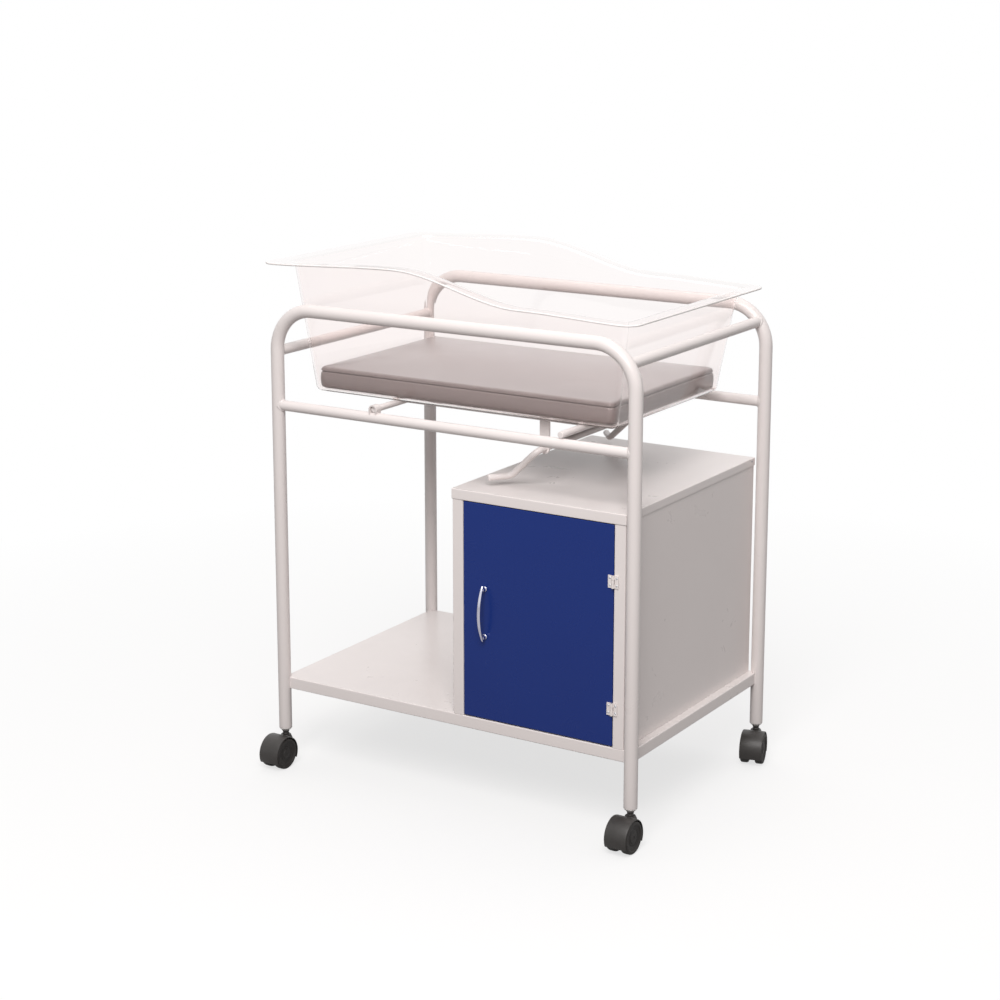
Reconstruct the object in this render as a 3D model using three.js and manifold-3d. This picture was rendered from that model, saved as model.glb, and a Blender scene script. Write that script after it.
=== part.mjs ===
// Hospital bassinet: a clear tub on a tilting cradle, carried by a bent tube frame
// with a bottom shelf, a cabinet and swivel casters.
// Millimetres, +Z up. The origin is on the floor, midway between the legs.
// +X runs from the head end to the foot end, and the cabinet door faces -Y.

import * as THREE from 'three';
import { LoftGeometry } from 'three/addons/geometries/LoftGeometry.js';
import { RoundedBoxGeometry } from 'three/addons/geometries/RoundedBoxGeometry.js';
import { mergeVertices } from 'three/addons/utils/BufferGeometryUtils.js';
import Module from 'manifold-3d';

const wasm = await Module();
wasm.setup();

// Clearances
const seatGap = 0.3; // between pieces that are welded, screwed or seated together
const runGap = 0.4; // between a pin and the bore that it turns in

// Tube frame
const legPitchX = 764; // leg centres, head end to foot end
const legPitchY = 510; // leg centres, front to rear
const topRailZ = 900; // centre of the top rails above the floor
const legEndRise = 15; // cut ends of the legs above the wheels
const frameTubeD = 25;
const railTubeD = 20;
const tubeWall = 1.5;
const frameBendR = 80; // centreline of the bends at the top corners
const midRailDrop = 185; // mid rails below the top rails
const headEndTubeDrop = 82;
const footEndTubeDrop = 32;

// Leg plugs and caster stems
const plugFlangeH = 7;
const plugChamfer = 5.5;
const plugShankH = 32;
const stemD = 11;
const stemRise = 26; // stem above the bottom of the plug
const stemNeckD = 8; // lower end, in the caster's hood

// Casters
const wheelD = 60;
const wheelW = 15;
const wheelShoulder = 3;
const wheelDish = 2.5; // recess of the outer face
const wheelHubD = 20;
const wheelSideGap = 0.6;
const casterTrail = 24; // wheel axis behind the swivel axis
const hoodWebT = 12.5; // web between the two wheels
const hoodWall = 2;
const hoodWheelGap = 1.6;
const stemShow = 8; // stem between the hood and the leg's plug
const hoodBossD = 20;
const hoodHubD = 24; // web round the axle, below the fender
const hoodFrontAngle = 205; // fender's reach over the wheels, from the swivel side, in degrees
const hoodRearAngle = -28;
const axleD = 8;
const axleReach = 10; // of each end, into its wheel
const casterTurns = { fl: 0, fr: 0, rl: 195, rr: 15 }; // swivel at rest, in degrees

// Folded sheet
const sheetT = 1.2;
const foldR = 2;

// Bottom shelf
const shelfTopZ = 178;
const shelfDepth = 23;
const shelfLip = 12; // return along the bottom of each apron

// Cabinet
const cabinetW = 357.5;
const cabinetLegGap = 3.5; // to the foot-end legs
const cabinetBackGap = 5; // from the rear legs' centres
const cabinetHeadroom = 109; // under the mid rails' centres
const stileW = 22.5; // front faces beside the door
const jambDepth = 18.5; // from the front face to the door stops
const stopLip = 8;
const lidFrontLip = 20;
const lidSideLip = 15;

// Door
const doorT = 16;
const doorGap = 1;
const doorFootGap = 2;
const doorLip = 12; // return along the back of each side
const hingeH = 23;
const hingeLeafW = 10.5;
const hingeLeafT = 1.5;
const knuckleD = 5.6;
const hingePinD = 2.6;
const upperHingeDrop = 102; // hinge centre below the door's top
const lowerHingeRise = 70; // hinge centre above the door's bottom
const handleInset = 46; // from the door's free edge
const handleL = 104;
const handlePostInset = 7; // post centres from the grip's ends
const handleEndReach = 13; // grip's centre off the door, at its ends
const handleBowReach = 21; // and at its middle
const gripW = 6.5;
const gripT = 5;
const postD = 7;
const screwD = 4;
const screwHeadD = 8;
const screwHeadT = 2.4;
const screwGrip = 9; // length of screw in the post
const catchW = 40;
const catchT = 14;
const catchInset = 55; // catch centre from the door's free edge
const catchLap = 20; // catch below the door's top
const strikeT = 1.3;
const strikeW = 34;

// Cradle and tilt stay
const crossRodD = 12;
const crossRodOverhang = 4; // past the mid rails' centres
const headRodInset = 222; // from the head legs
const footRodInset = 146; // from the foot legs
const cradleBarY = 155;
const cradleBarW = 20;
const cradleBarT = 5;
const clipT = 2.5;
const clipW = 16;
const stayD = 12;
const stayHingeX = 143;
const stayHingeRise = 70; // hinge above the cabinet top
const stayLegY = 182;
const stayLegRun = 54.5; // from the hinge to the foot's bend, towards the head end
const stayFootRun = 28;
const stayFootSplay = 35;
const stayFootGap = 12; // under the foot, to the cabinet top
const stayBendR = 16;
const hangerT = 4;
const hangerW = 20;

// Tub
const tubShift = -13; // tub's middle from the frame's middle
const tubEndGap = 57; // wall's base to the leg centres
const tubSideGap = 53;
const tubT = 4;
const tubFlareX = 32; // lean of the walls from base to rim
const tubFlareY = 22;
const tubBaseR = 10; // round along the bottom edge
const tubCornerR = 16;
const tubLongSteps = 12; // facets along the rim between the corners
const tubShortSteps = 4;
const flangeHead = 47;
const flangeFoot = 35;
const flangeSide = 37;
const flangeCornerR = 30;
const flangeRound = 8;
const flangeOverRail = 18.5; // foot end of the flange, over the top rails
const rimDipRise = 8; // rim heights above its foot end
const rimCrestRise = 59;
const rimHeadRise = 49;
const rimCrestX = -115;
const rimDipX = 150;

// Mattress
const mattressGap = 1.5; // to the tub's walls
const mattressSide = 45; // height of the sides
const mattressCrown = 7;
const mattressEdgeR = 10;
const mattressDrawIn = 2;
const mattressLongSteps = 8;
const mattressShortSteps = 4;
const seamZ = 33; // above the mattress's underside
const seamDepth = 1.5;
const seamHalfW = 3;

// Facets
const tubeSides = 16;
const rodSides = 12;
const bendSteps = 6;
const wheelSides = 20;
const cornerSteps = 5;
const filletSteps = 3;

const legX = legPitchX / 2;
const headRodX = headRodInset - legX;
const footRodX = legX - footRodInset;
const legEndZ = wheelD + legEndRise;
const plugBottomZ = legEndZ - plugFlangeH;
const hoodTopZ = plugBottomZ - stemShow;
const legY = legPitchY / 2;
const frameR = frameTubeD / 2;
const railR = railTubeD / 2;
const midRailZ = topRailZ - midRailDrop;
const cabinetTopZ = midRailZ - cabinetHeadroom;

const paint = (color, roughness, metalness) =>
  new THREE.MeshStandardMaterial({ color, roughness, metalness });
const whitePaint = paint(0xe9e4e1, 0.4, 0);
const bluePaint = paint(0x21346e, 0.35, 0);
const chrome = paint(0xd8dade, 0.12, 1);
const zincSteel = paint(0xb9bcc0, 0.4, 1);
const palePlastic = paint(0xdedad6, 0.5, 0);
const blackPlastic = paint(0x2c2927, 0.5, 0);
const greyVinyl = paint(0xb9adad, 0.55, 0);
const clearPlastic = new THREE.MeshStandardMaterial({
  color: 0xf7efee,
  roughness: 0.08,
  metalness: 0,
  transparent: true,
  opacity: 0.3,
});

const bassinet = new THREE.Group();

function add(name, geometry, material, parent = bassinet) {
  const mesh = new THREE.Mesh(geometry, material);
  mesh.name = name;
  parent.add(mesh);
}

// Closed mesh to solid: corners that share a place become one, and flat slivers at a pole go.
function solidOf(geometry) {
  const bare = geometry.clone();
  bare.deleteAttribute('normal');
  bare.deleteAttribute('uv');
  const merged = mergeVertices(bare, 1e-4);
  const index = merged.index.array;
  const triangles = [];
  for (let i = 0; i < index.length; i += 3) {
    const [a, b, c] = index.slice(i, i + 3);
    if (a !== b && b !== c && c !== a) triangles.push(a, b, c);
  }
  return new wasm.Manifold(
    new wasm.Mesh({
      numProp: 3,
      vertProperties: new Float32Array(merged.attributes.position.array),
      triVerts: new Uint32Array(triangles),
    }),
  );
}

function geometryOf(solid) {
  const mesh = solid.getMesh();
  const geometry = new THREE.BufferGeometry();
  geometry.setAttribute('position', new THREE.BufferAttribute(mesh.vertProperties, 3));
  geometry.setIndex(new THREE.BufferAttribute(mesh.triVerts, 1));
  return geometry;
}

const join = (first, ...others) =>
  geometryOf(others.reduce((solid, other) => solid.add(solidOf(other)), solidOf(first)));

const cut = (first, ...tools) =>
  geometryOf(tools.reduce((solid, tool) => solid.subtract(solidOf(tool)), solidOf(first)));

// A path of straight runs and round bends, with one station at each end of a run
// and several round each bend.
class BentPath extends THREE.Curve {
  constructor(corners, bendR) {
    super();
    const run = (i) => corners[i + 1].clone().sub(corners[i]).normalize();
    this.points = [corners[0].clone()];
    this.tangents = [run(0)];
    for (let i = 1; i < corners.length - 1; i++) {
      const before = run(i - 1);
      const after = run(i);
      const turn = before.angleTo(after);
      const axis = before.clone().cross(after).normalize();
      const start = corners[i].clone().addScaledVector(before, -bendR * Math.tan(turn / 2));
      const inward = axis.clone().cross(before);
      const centre = start.clone().addScaledVector(inward, bendR);
      for (let k = 0; k <= bendSteps; k++) {
        const angle = (turn * k) / bendSteps;
        const spoke = start.clone().sub(centre).applyAxisAngle(axis, angle);
        this.points.push(centre.clone().add(spoke));
        this.tangents.push(before.clone().applyAxisAngle(axis, angle));
      }
    }
    this.points.push(corners[corners.length - 1].clone());
    this.tangents.push(run(corners.length - 2));
    this.steps = this.points.length - 1;
  }

  between(list, u) {
    const place = u * this.steps;
    const i = Math.min(Math.floor(place), this.steps - 1);
    return list[i].clone().lerp(list[i + 1], place - i);
  }

  getPoint(u) {
    return this.between(this.points, u);
  }

  getPointAt(u) {
    return this.getPoint(u);
  }

  getTangentAt(u) {
    return this.between(this.tangents, u).normalize();
  }
}

const vec = (x, y, z) => new THREE.Vector3(x, y, z);

function ringPoints(radius, sides, squash = 1) {
  return Array.from({ length: sides }, (_, i) => {
    const angle = (2 * Math.PI * (i + 0.5)) / sides;
    return new THREE.Vector2(radius * Math.cos(angle), squash * radius * Math.sin(angle));
  });
}

function tubeSection(radius, wall, sides) {
  const section = new THREE.Shape(ringPoints(radius, sides));
  if (wall > 0) section.holes.push(new THREE.Path(ringPoints(radius - wall, sides)));
  return section;
}

const sweep = (path, section) =>
  new THREE.ExtrudeGeometry(section, { steps: path.steps, extrudePath: path });

// Turns of a prism that is drawn in a shape's own x and y and grows along its z.
const alongX = new THREE.Matrix4().makeBasis(vec(0, 1, 0), vec(0, 0, 1), vec(1, 0, 0));
const alongY = new THREE.Matrix4().makeBasis(vec(1, 0, 0), vec(0, 0, 1), vec(0, -1, 0));
const alongZ = new THREE.Matrix4();

function prism(shape, length, turn = alongZ) {
  const geometry = new THREE.ExtrudeGeometry(shape, { depth: length, bevelEnabled: false });
  geometry.translate(0, 0, -length / 2);
  return geometry.applyMatrix4(turn);
}

const rod = (diameter, length, turn, sides = rodSides) =>
  prism(tubeSection(diameter / 2, 0, sides), length, turn);

function block(low, high) {
  const size = high.clone().sub(low);
  const middle = high.clone().add(low).multiplyScalar(0.5);
  return new THREE.BoxGeometry(size.x, size.y, size.z).translate(middle.x, middle.y, middle.z);
}

// A block whose edges have the sheet's fold radius.
function foldedBlock(low, high) {
  const size = high.clone().sub(low);
  const middle = high.clone().add(low).multiplyScalar(0.5);
  const box = new RoundedBoxGeometry(size.x, size.y, size.z, 2, foldR);
  return box.translate(middle.x, middle.y, middle.z);
}

// A turned piece from [radius, height] pairs, about +Z.
function turned(profile, sides) {
  const points = profile.map(([r, z]) => new THREE.Vector2(r, z));
  return new THREE.LatheGeometry(points, sides).rotateX(Math.PI / 2);
}

const framePath = new BentPath(
  [vec(-legX, 0, legEndZ), vec(-legX, 0, topRailZ), vec(legX, 0, topRailZ), vec(legX, 0, legEndZ)],
  frameBendR,
);

// Space that a bent frame takes, with the gap that a welded tube keeps to it.
const frameSpace = (y) =>
  sweep(framePath, tubeSection(frameR + seatGap, 0, tubeSides)).translate(0, y, 0);

// Distance of the frame's centreline from the middle, at a height that may lie on a bend.
function frameReachAt(z) {
  const rise = Math.max(0, z - (topRailZ - frameBendR));
  return legX - frameBendR + Math.sqrt(frameBendR ** 2 - rise ** 2);
}

function buildFrame() {
  const section = tubeSection(frameR, tubeWall, tubeSides);
  add('front_frame', sweep(framePath, section).translate(0, -legY, 0), whitePaint);
  add('rear_frame', sweep(framePath, section).translate(0, legY, 0), whitePaint);

  const railSection = tubeSection(railR, tubeWall, tubeSides);
  for (const [name, y] of [['front_mid_rail', -legY], ['rear_mid_rail', legY]]) {
    const rail = prism(railSection, legPitchX, alongX).translate(0, y, midRailZ);
    add(name, cut(rail, frameSpace(y)), whitePaint);
  }

  const ends = [
    ['head_end_tube', -1, topRailZ - headEndTubeDrop],
    ['foot_end_tube', 1, topRailZ - footEndTubeDrop],
  ];
  for (const [name, side, z] of ends) {
    const tube = prism(railSection, legPitchY, alongY).translate(side * frameReachAt(z), 0, z);
    add(name, cut(tube, frameSpace(-legY), frameSpace(legY)), whitePaint);
  }
}

function buildShelf() {
  const low = vec(-legX, -legY, shelfTopZ - shelfDepth);
  const high = vec(legX, legY, shelfTopZ);
  const inset = (d, floor, ceiling) =>
    block(vec(low.x + d, low.y + d, floor), vec(high.x - d, high.y - d, ceiling));
  const hollow = inset(sheetT, low.z + sheetT, high.z - sheetT);
  const mouth = inset(sheetT + shelfLip, low.z - 1, high.z - sheetT);
  const legs = [-1, 1].flatMap((sx) =>
    [-1, 1].map((sy) =>
      rod(2 * (frameR + seatGap), 2 * shelfDepth, alongZ, tubeSides).translate(
        sx * legX,
        sy * legY,
        (low.z + high.z) / 2,
      ),
    ),
  );
  add('bottom_shelf', cut(foldedBlock(low, high), hollow, mouth, ...legs), whitePaint);
}

// Plan of the cabinet and its door, which the hinges, catch and stay are set from.
const cabinet = {
  left: legX - frameR - cabinetLegGap - cabinetW,
  right: legX - frameR - cabinetLegGap,
  front: -legY,
  back: legY - cabinetBackGap,
  bottom: shelfTopZ + seatGap,
  top: cabinetTopZ,
};
const door = {
  left: cabinet.left + stileW + doorGap,
  right: cabinet.right - stileW - doorGap,
  front: cabinet.front,
  back: cabinet.front + doorT,
  bottom: shelfTopZ + doorFootGap,
  top: cabinetTopZ - lidFrontLip - doorGap,
};
const hingeX = door.right + doorGap / 2;
const hingeY = door.front - seatGap - knuckleD / 2;

// Closed outline of a folded sheet, seen end on, with its thickness to the right of the path.
function foldedSheet(corners) {
  const path = new BentPath(corners.map(([x, y]) => vec(x, y, 0)), foldR);
  const outside = path.points.map((p) => new THREE.Vector2(p.x, p.y));
  const inside = path.points.map((p, i) => {
    const t = path.tangents[i];
    return new THREE.Vector2(p.x + sheetT * t.y, p.y - sheetT * t.x);
  });
  return new THREE.Shape([...outside, ...inside.reverse()]);
}

function buildCabinet() {
  const { left, right, front, back, bottom, top } = cabinet;
  const stopY = front + jambDepth;
  const shellTop = top - sheetT - seatGap;
  const wrap = foldedSheet([
    [left + stileW + stopLip, stopY],
    [left + stileW, stopY],
    [left + stileW, front],
    [left, front],
    [left, back],
    [right, back],
    [right, front],
    [right - stileW, front],
    [right - stileW, stopY],
    [right - stileW - stopLip, stopY],
  ]);
  const shell = prism(wrap, shellTop - bottom).translate(0, 0, (shellTop + bottom) / 2);
  add('cabinet_shell', shell, whitePaint);

  const lap = seatGap + sheetT;
  const lidLow = vec(left - lap, front - lap, top - lidFrontLip);
  const lidHigh = vec(right + lap, back + lap, top);
  const underside = block(
    vec(left - seatGap, front - seatGap, lidLow.z - 1),
    vec(right + seatGap, back + seatGap, top - sheetT),
  );
  const sideTrim = block(
    vec(lidLow.x - 1, front - seatGap, lidLow.z - 1),
    vec(lidHigh.x + 1, lidHigh.y + 1, top - lidSideLip),
  );
  add('cabinet_top', cut(foldedBlock(lidLow, lidHigh), underside, sideTrim), whitePaint);
}

function buildDoor() {
  const low = vec(door.left, door.front, door.bottom);
  const high = vec(door.right, door.back, door.top);
  const hollow = block(
    vec(low.x + sheetT, low.y + sheetT, low.z + sheetT),
    vec(high.x - sheetT, high.y - sheetT, high.z - sheetT),
  );
  const mouth = block(
    vec(low.x + doorLip, low.y + sheetT, low.z + doorLip),
    vec(high.x - doorLip, high.y + 1, high.z - doorLip),
  );
  const handleX = door.left + handleInset;
  const handleZ = (door.bottom + door.top) / 2;
  const postReachZ = handleL / 2 - handlePostInset;
  const postZ = [handleZ + postReachZ, handleZ - postReachZ];
  const screwHoles = postZ.map((z) =>
    rod(screwD + 2 * seatGap, 4 * sheetT, alongY).translate(handleX, door.front, z),
  );
  add('door', cut(foldedBlock(low, high), hollow, mouth, ...screwHoles), bluePaint);

  buildHandle(handleX, handleZ, postZ);

  const catchX = door.left + catchInset;
  const strikeLow = door.back + seatGap;
  const strikeZ = door.top - doorLip / 2;
  const strike = block(
    vec(catchX - strikeW / 2, strikeLow, strikeZ - doorLip / 2 + seatGap),
    vec(catchX + strikeW / 2, strikeLow + strikeT, strikeZ + doorLip / 2 - seatGap),
  );
  add('door_strike', strike, zincSteel);

  const catchFront = strikeLow + strikeT + seatGap;
  const body = foldedBlock(
    vec(catchX - catchW / 2, catchFront, door.top - catchLap),
    vec(catchX + catchW / 2, catchFront + catchT, cabinetTopZ - sheetT - seatGap),
  );
  add('door_catch', body, palePlastic);
}

function buildHandle(x, z, postZ) {
  const face = door.front - seatGap;
  const half = handleL / 2;
  const reach = 2 * handleBowReach - handleEndReach;
  const bow = new THREE.QuadraticBezierCurve3(
    vec(x, face - handleEndReach, z - half),
    vec(x, face - reach, z),
    vec(x, face - handleEndReach, z + half),
  );
  const section = new THREE.Shape(ringPoints(gripW / 2, rodSides, gripT / gripW));
  const grip = new THREE.ExtrudeGeometry(section, { steps: 2 * bendSteps, extrudePath: bow });
  const middleDrop = (1 - handlePostInset / half) ** 2;
  const postReach = handleBowReach - (handleBowReach - handleEndReach) * middleDrop;
  const posts = postZ.map((pz) =>
    rod(postD, postReach, alongY).translate(x, face - postReach / 2, pz),
  );
  const bores = postZ.map((pz) =>
    rod(screwD + 2 * seatGap, 2 * screwGrip + 2 * seatGap, alongY).translate(x, face, pz),
  );
  add('door_handle', cut(join(grip, ...posts), ...bores), chrome);

  const shank = screwD / 2;
  const head = screwHeadD / 2;
  const underHead = door.front + sheetT + seatGap;
  const screwLength = underHead - face + screwGrip;
  const screw = turned(
    [[0, 0], [shank, 0], [shank, screwLength], [head, screwLength],
      [head, screwLength + screwHeadT / 2], [head * 0.6, screwLength + screwHeadT],
      [0, screwLength + screwHeadT]],
    rodSides,
  ).rotateX(-Math.PI / 2);
  ['upper', 'lower'].forEach((place, i) => {
    const seated = screw.clone().translate(x, underHead - screwLength, postZ[i]);
    add(`handle_screw_${place}`, seated, zincSteel);
  });
}

// Butt hinges on the front faces: two knuckles on the stile's leaf and one on the door's.
function buildHinges() {
  const third = hingeH / 3;
  const leafBack = hingeY + knuckleD / 2;
  const leafFront = leafBack - hingeLeafT;
  const barrelClear = knuckleD / 2 + seatGap;
  const heights = { upper: door.top - upperHingeDrop, lower: door.bottom + lowerHingeRise };

  for (const [place, z] of Object.entries(heights)) {
    const bore = rod(hingePinD + 2 * seatGap, 2 * hingeH, alongZ).translate(hingeX, hingeY, z);
    const leaf = (side, middles) => {
      const edges = [hingeX + side * barrelClear, hingeX + side * hingeLeafW];
      const plate = block(
        vec(Math.min(...edges), leafFront, z - hingeH / 2),
        vec(Math.max(...edges), leafBack, z + hingeH / 2),
      );
      const knuckleH = third - seatGap;
      const knuckles = middles.flatMap((middle) => {
        const reach = [hingeX, hingeX + side * (barrelClear + hingeLeafT)];
        const tab = block(
          vec(Math.min(...reach), leafFront, z + middle - knuckleH / 2),
          vec(Math.max(...reach), leafBack, z + middle + knuckleH / 2),
        );
        return [rod(knuckleD, knuckleH, alongZ).translate(hingeX, hingeY, z + middle), tab];
      });
      return cut(join(plate, ...knuckles), bore);
    };
    add(`hinge_${place}_stile_leaf`, leaf(1, [-third, third]), whitePaint);
    add(`hinge_${place}_door_leaf`, leaf(-1, [0]), whitePaint);
    add(`hinge_${place}_pin`, rod(hingePinD, hingeH, alongZ).translate(hingeX, hingeY, z), zincSteel);
  }
}

// Two rods across the mid rails, joined by flat bars. The head rod turns in its clips.
const crossRodZ = midRailZ + railR + seatGap + crossRodD / 2;
const stayHinge = { x: stayHingeX, z: cabinetTopZ + stayHingeRise };

function buildCradle() {
  const rodL = legPitchY + 2 * crossRodOverhang;
  const crossRod = (x) => rod(crossRodD, rodL, alongY).translate(x, 0, crossRodZ);
  add('head_cross_rod', crossRod(headRodX), whitePaint);
  add('foot_cross_rod', crossRod(footRodX), whitePaint);

  const rodSpaces = [headRodX, footRodX].map((x) =>
    rod(crossRodD + 2 * seatGap, 2 * rodL, alongY).translate(x, 0, crossRodZ),
  );
  const clipR = crossRodD / 2 + runGap;
  for (const [place, side] of [['front', -1], ['rear', 1]]) {
    const y = side * cradleBarY;
    const bar = block(
      vec(headRodX, y - cradleBarW / 2, crossRodZ - cradleBarT / 2),
      vec(footRodX, y + cradleBarW / 2, crossRodZ + cradleBarT / 2),
    );
    add(`cradle_bar_${place}`, cut(bar, ...rodSpaces), whitePaint);

    const strap = new THREE.Shape();
    strap.moveTo(clipR + clipT, -crossRodD);
    strap.absarc(0, 0, clipR + clipT, 0, Math.PI, false);
    strap.lineTo(-clipR - clipT, -crossRodD);
    strap.lineTo(-clipR, -crossRodD);
    strap.absarc(0, 0, clipR, Math.PI, 0, true);
    strap.lineTo(clipR, -crossRodD);
    const clip = prism(strap, clipW, alongY).translate(headRodX, side * legY, crossRodZ);
    const railSpace = prism(tubeSection(railR + seatGap, 0, tubeSides), legPitchX, alongX);
    add(`pivot_clip_${place}`, cut(clip, railSpace.translate(0, side * legY, midRailZ)), whitePaint);

    add(`stay_hanger_${place}`, hanger().translate(0, y, 0), whitePaint);
  }
}

// Plate under a cradle bar, round at its foot, that the stay's crossbar turns in.
function hanger() {
  const top = crossRodZ - cradleBarT / 2 - seatGap - stayHinge.z;
  const half = hangerW / 2;
  const plate = new THREE.Shape();
  plate.moveTo(half, top);
  plate.lineTo(-half, top);
  plate.lineTo(-half, 0);
  plate.absarc(0, 0, half, Math.PI, 2 * Math.PI, false);
  plate.lineTo(half, top);
  plate.holes.push(new THREE.Path(ringPoints(stayD / 2 + runGap, rodSides)));
  return prism(plate, hangerT, alongY).translate(stayHinge.x, 0, stayHinge.z);
}

// One bar bent into a bail: a crossbar, two slanting legs and two splayed feet.
function buildStay() {
  const footZ = cabinetTopZ + stayFootGap + stayD / 2;
  const bendX = stayHinge.x - stayLegRun;
  const halfOf = (side) => [
    vec(bendX - stayFootRun, side * (stayLegY + stayFootSplay), footZ),
    vec(bendX, side * stayLegY, footZ),
    vec(stayHinge.x, side * stayLegY, stayHinge.z),
  ];
  const path = new BentPath([...halfOf(-1), ...halfOf(1).reverse()], stayBendR);
  add('tilt_stay', sweep(path, tubeSection(stayD / 2, 0, rodSides)), whitePaint);
}

// Round-cornered outline between two ends, with the same count of points for every size.
function roundedOutline(headX, footX, halfY, cornerR, longSteps, shortSteps) {
  const points = [];
  const corners = [
    [footX - cornerR, halfY - cornerR, 0, longSteps],
    [headX + cornerR, halfY - cornerR, 1, shortSteps],
    [headX + cornerR, cornerR - halfY, 2, longSteps],
    [footX - cornerR, cornerR - halfY, 3, shortSteps],
  ];
  corners.forEach(([x, y, quarter, steps], i) => {
    for (let k = 0; k <= cornerSteps; k++) {
      const angle = (Math.PI / 2) * (quarter + k / cornerSteps);
      points.push(new THREE.Vector2(x + cornerR * Math.cos(angle), y + cornerR * Math.sin(angle)));
    }
    const [nextX, nextY, nextQuarter] = corners[(i + 1) % 4];
    const nextAngle = (Math.PI / 2) * nextQuarter;
    const from = points[points.length - 1];
    const to = new THREE.Vector2(
      nextX + cornerR * Math.cos(nextAngle),
      nextY + cornerR * Math.sin(nextAngle),
    );
    for (let k = 1; k < steps; k++) points.push(from.clone().lerp(to, k / steps));
  });
  return points;
}

// Skin through the sections, closed by a fan to one point at each end.
function closedLoft(sections, start, end) {
  const pole = (point) => sections[0].map(() => point);
  return new LoftGeometry([pole(start), ...sections, pole(end)]);
}

const tubBottomZ = crossRodZ + crossRodD / 2 + seatGap;
const tubFootH = topRailZ + frameR + flangeOverRail + tubT - tubBottomZ;
const tubBase = { halfX: legX - tubEndGap, halfY: legY - tubSideGap };

// Height of the rim above the tub's bottom: a crest past the head end, then a smooth step down.
function rimHeight(x) {
  const { smoothstep } = THREE.MathUtils;
  const headX = tubShift - tubBase.halfX - tubFlareX - flangeHead;
  const footX = tubShift + tubBase.halfX + tubFlareX + flangeFoot;
  const crest = (rimCrestRise - rimHeadRise) * smoothstep(x, headX, rimCrestX);
  const dip = (rimCrestRise - rimDipRise) * smoothstep(x, rimCrestX, rimDipX);
  const foot = rimDipRise * smoothstep(x, rimDipX, footX);
  return tubFootH + rimHeadRise + crest - dip - foot;
}

// Moulded tub: the outside from the middle of its bottom up to the flange's edge,
// then the inside back down to its floor, one wall thickness in.
function buildTub() {
  const fullH = tubFootH + rimHeadRise;
  const kneeZ = tubBaseR + tubT;
  const topZ = fullH - tubT - flangeRound;
  const quarter = (i) => (Math.PI / 2) * (i / filletSteps);
  const profile = [];
  const station = (offset, z, flange = 0, lift = 0) => profile.push({ offset, z, flange, lift });
  const footArc = (radius, i) => {
    const angle = quarter(i);
    station(radius * Math.sin(angle) - tubBaseR, tubBaseR - radius * Math.cos(angle));
  };
  const rimArc = (radius, i) => {
    const angle = quarter(i);
    station(flangeRound - radius * Math.cos(angle), topZ + radius * Math.sin(angle));
  };
  const wallStations = [0.35, 0.7].map((share) => kneeZ + share * (topZ - kneeZ));

  for (let i = 0; i <= filletSteps; i++) footArc(tubBaseR, i);
  for (const z of wallStations) station(0, z);
  for (let i = 0; i <= filletSteps; i++) rimArc(flangeRound, i);
  station(0, fullH - tubT, 1);
  station(0, fullH - tubT, 1, tubT);
  for (let i = filletSteps; i >= 0; i--) rimArc(flangeRound + tubT, i);
  for (const z of wallStations.reverse()) station(-tubT, z);
  for (let i = filletSteps; i >= 0; i--) footArc(tubBaseR - tubT, i);

  const sections = profile.map(({ offset, z, flange, lift }) => {
    const lean = z / fullH;
    const reachX = tubBase.halfX + tubFlareX * lean + offset;
    const outline = roundedOutline(
      tubShift - reachX - flange * flangeHead,
      tubShift + reachX + flange * flangeFoot,
      tubBase.halfY + tubFlareY * lean + offset + flange * flangeSide,
      flange ? flangeCornerR : tubCornerR + offset,
      tubLongSteps,
      tubShortSteps,
    );
    return outline.map(({ x, y }) => {
      const stretch = (rimHeight(x) - kneeZ) / (fullH - kneeZ);
      const height = z < kneeZ ? z : kneeZ + (z - kneeZ) * stretch;
      return vec(x, y, tubBottomZ + height + lift);
    });
  });
  const floorZ = tubBottomZ + tubT;
  add('tub', closedLoft(sections, vec(tubShift, 0, tubBottomZ), vec(tubShift, 0, floorZ)), clearPlastic);
}

// Mattress with a crowned top, a seam round its sides and sides drawn in between the corners.
function buildMattress() {
  const bottomZ = tubBottomZ + tubT + seatGap;
  const halfX = tubBase.halfX - tubT - mattressGap;
  const halfY = tubBase.halfY - tubT - mattressGap;
  const cornerR = tubCornerR - tubT;
  const edge = (angle) => [
    mattressEdgeR * (Math.cos(angle) - 1),
    mattressEdgeR * (1 - Math.sin(angle)),
  ];
  const lowEdge = Array.from({ length: filletSteps }, (_, i) =>
    edge((Math.PI / 2) * (1 - i / filletSteps)),
  );
  const highEdge = lowEdge.map(([offset, z]) => [offset, mattressSide - z]).reverse();
  const crown = [0.3, 0.6, 0.9].map((share) => [
    -mattressEdgeR - share * (halfY - 2 * mattressEdgeR),
    mattressSide + mattressCrown * Math.sin((Math.PI / 2) * share),
  ]);
  const profile = [
    ...lowEdge,
    [0, seamZ - seamHalfW],
    [-seamDepth, seamZ],
    [0, seamZ + seamHalfW],
    ...highEdge,
    ...crown,
  ];
  const pull = (along, half) => Math.cos((Math.PI / 2) * Math.min(1, Math.abs(along) / half)) ** 2;
  const sections = profile.map(([offset, z]) => {
    const reachX = halfX + offset;
    const reachY = halfY + offset;
    const round = Math.max(cornerR + offset, mattressEdgeR / 2);
    const outline = roundedOutline(
      -reachX,
      reachX,
      reachY,
      Math.min(round, reachY),
      mattressLongSteps,
      mattressShortSteps,
    );
    return outline.map(({ x, y }) =>
      vec(
        tubShift + x * (1 - (mattressDrawIn / halfX) * pull(y, reachY)),
        y * (1 - (mattressDrawIn / halfY) * pull(x, reachX)),
        bottomZ + z,
      ),
    );
  });
  const crownZ = bottomZ + mattressSide + mattressCrown;
  add('mattress', closedLoft(sections, vec(tubShift, 0, bottomZ), vec(tubShift, 0, crownZ)), greyVinyl);
}

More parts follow.
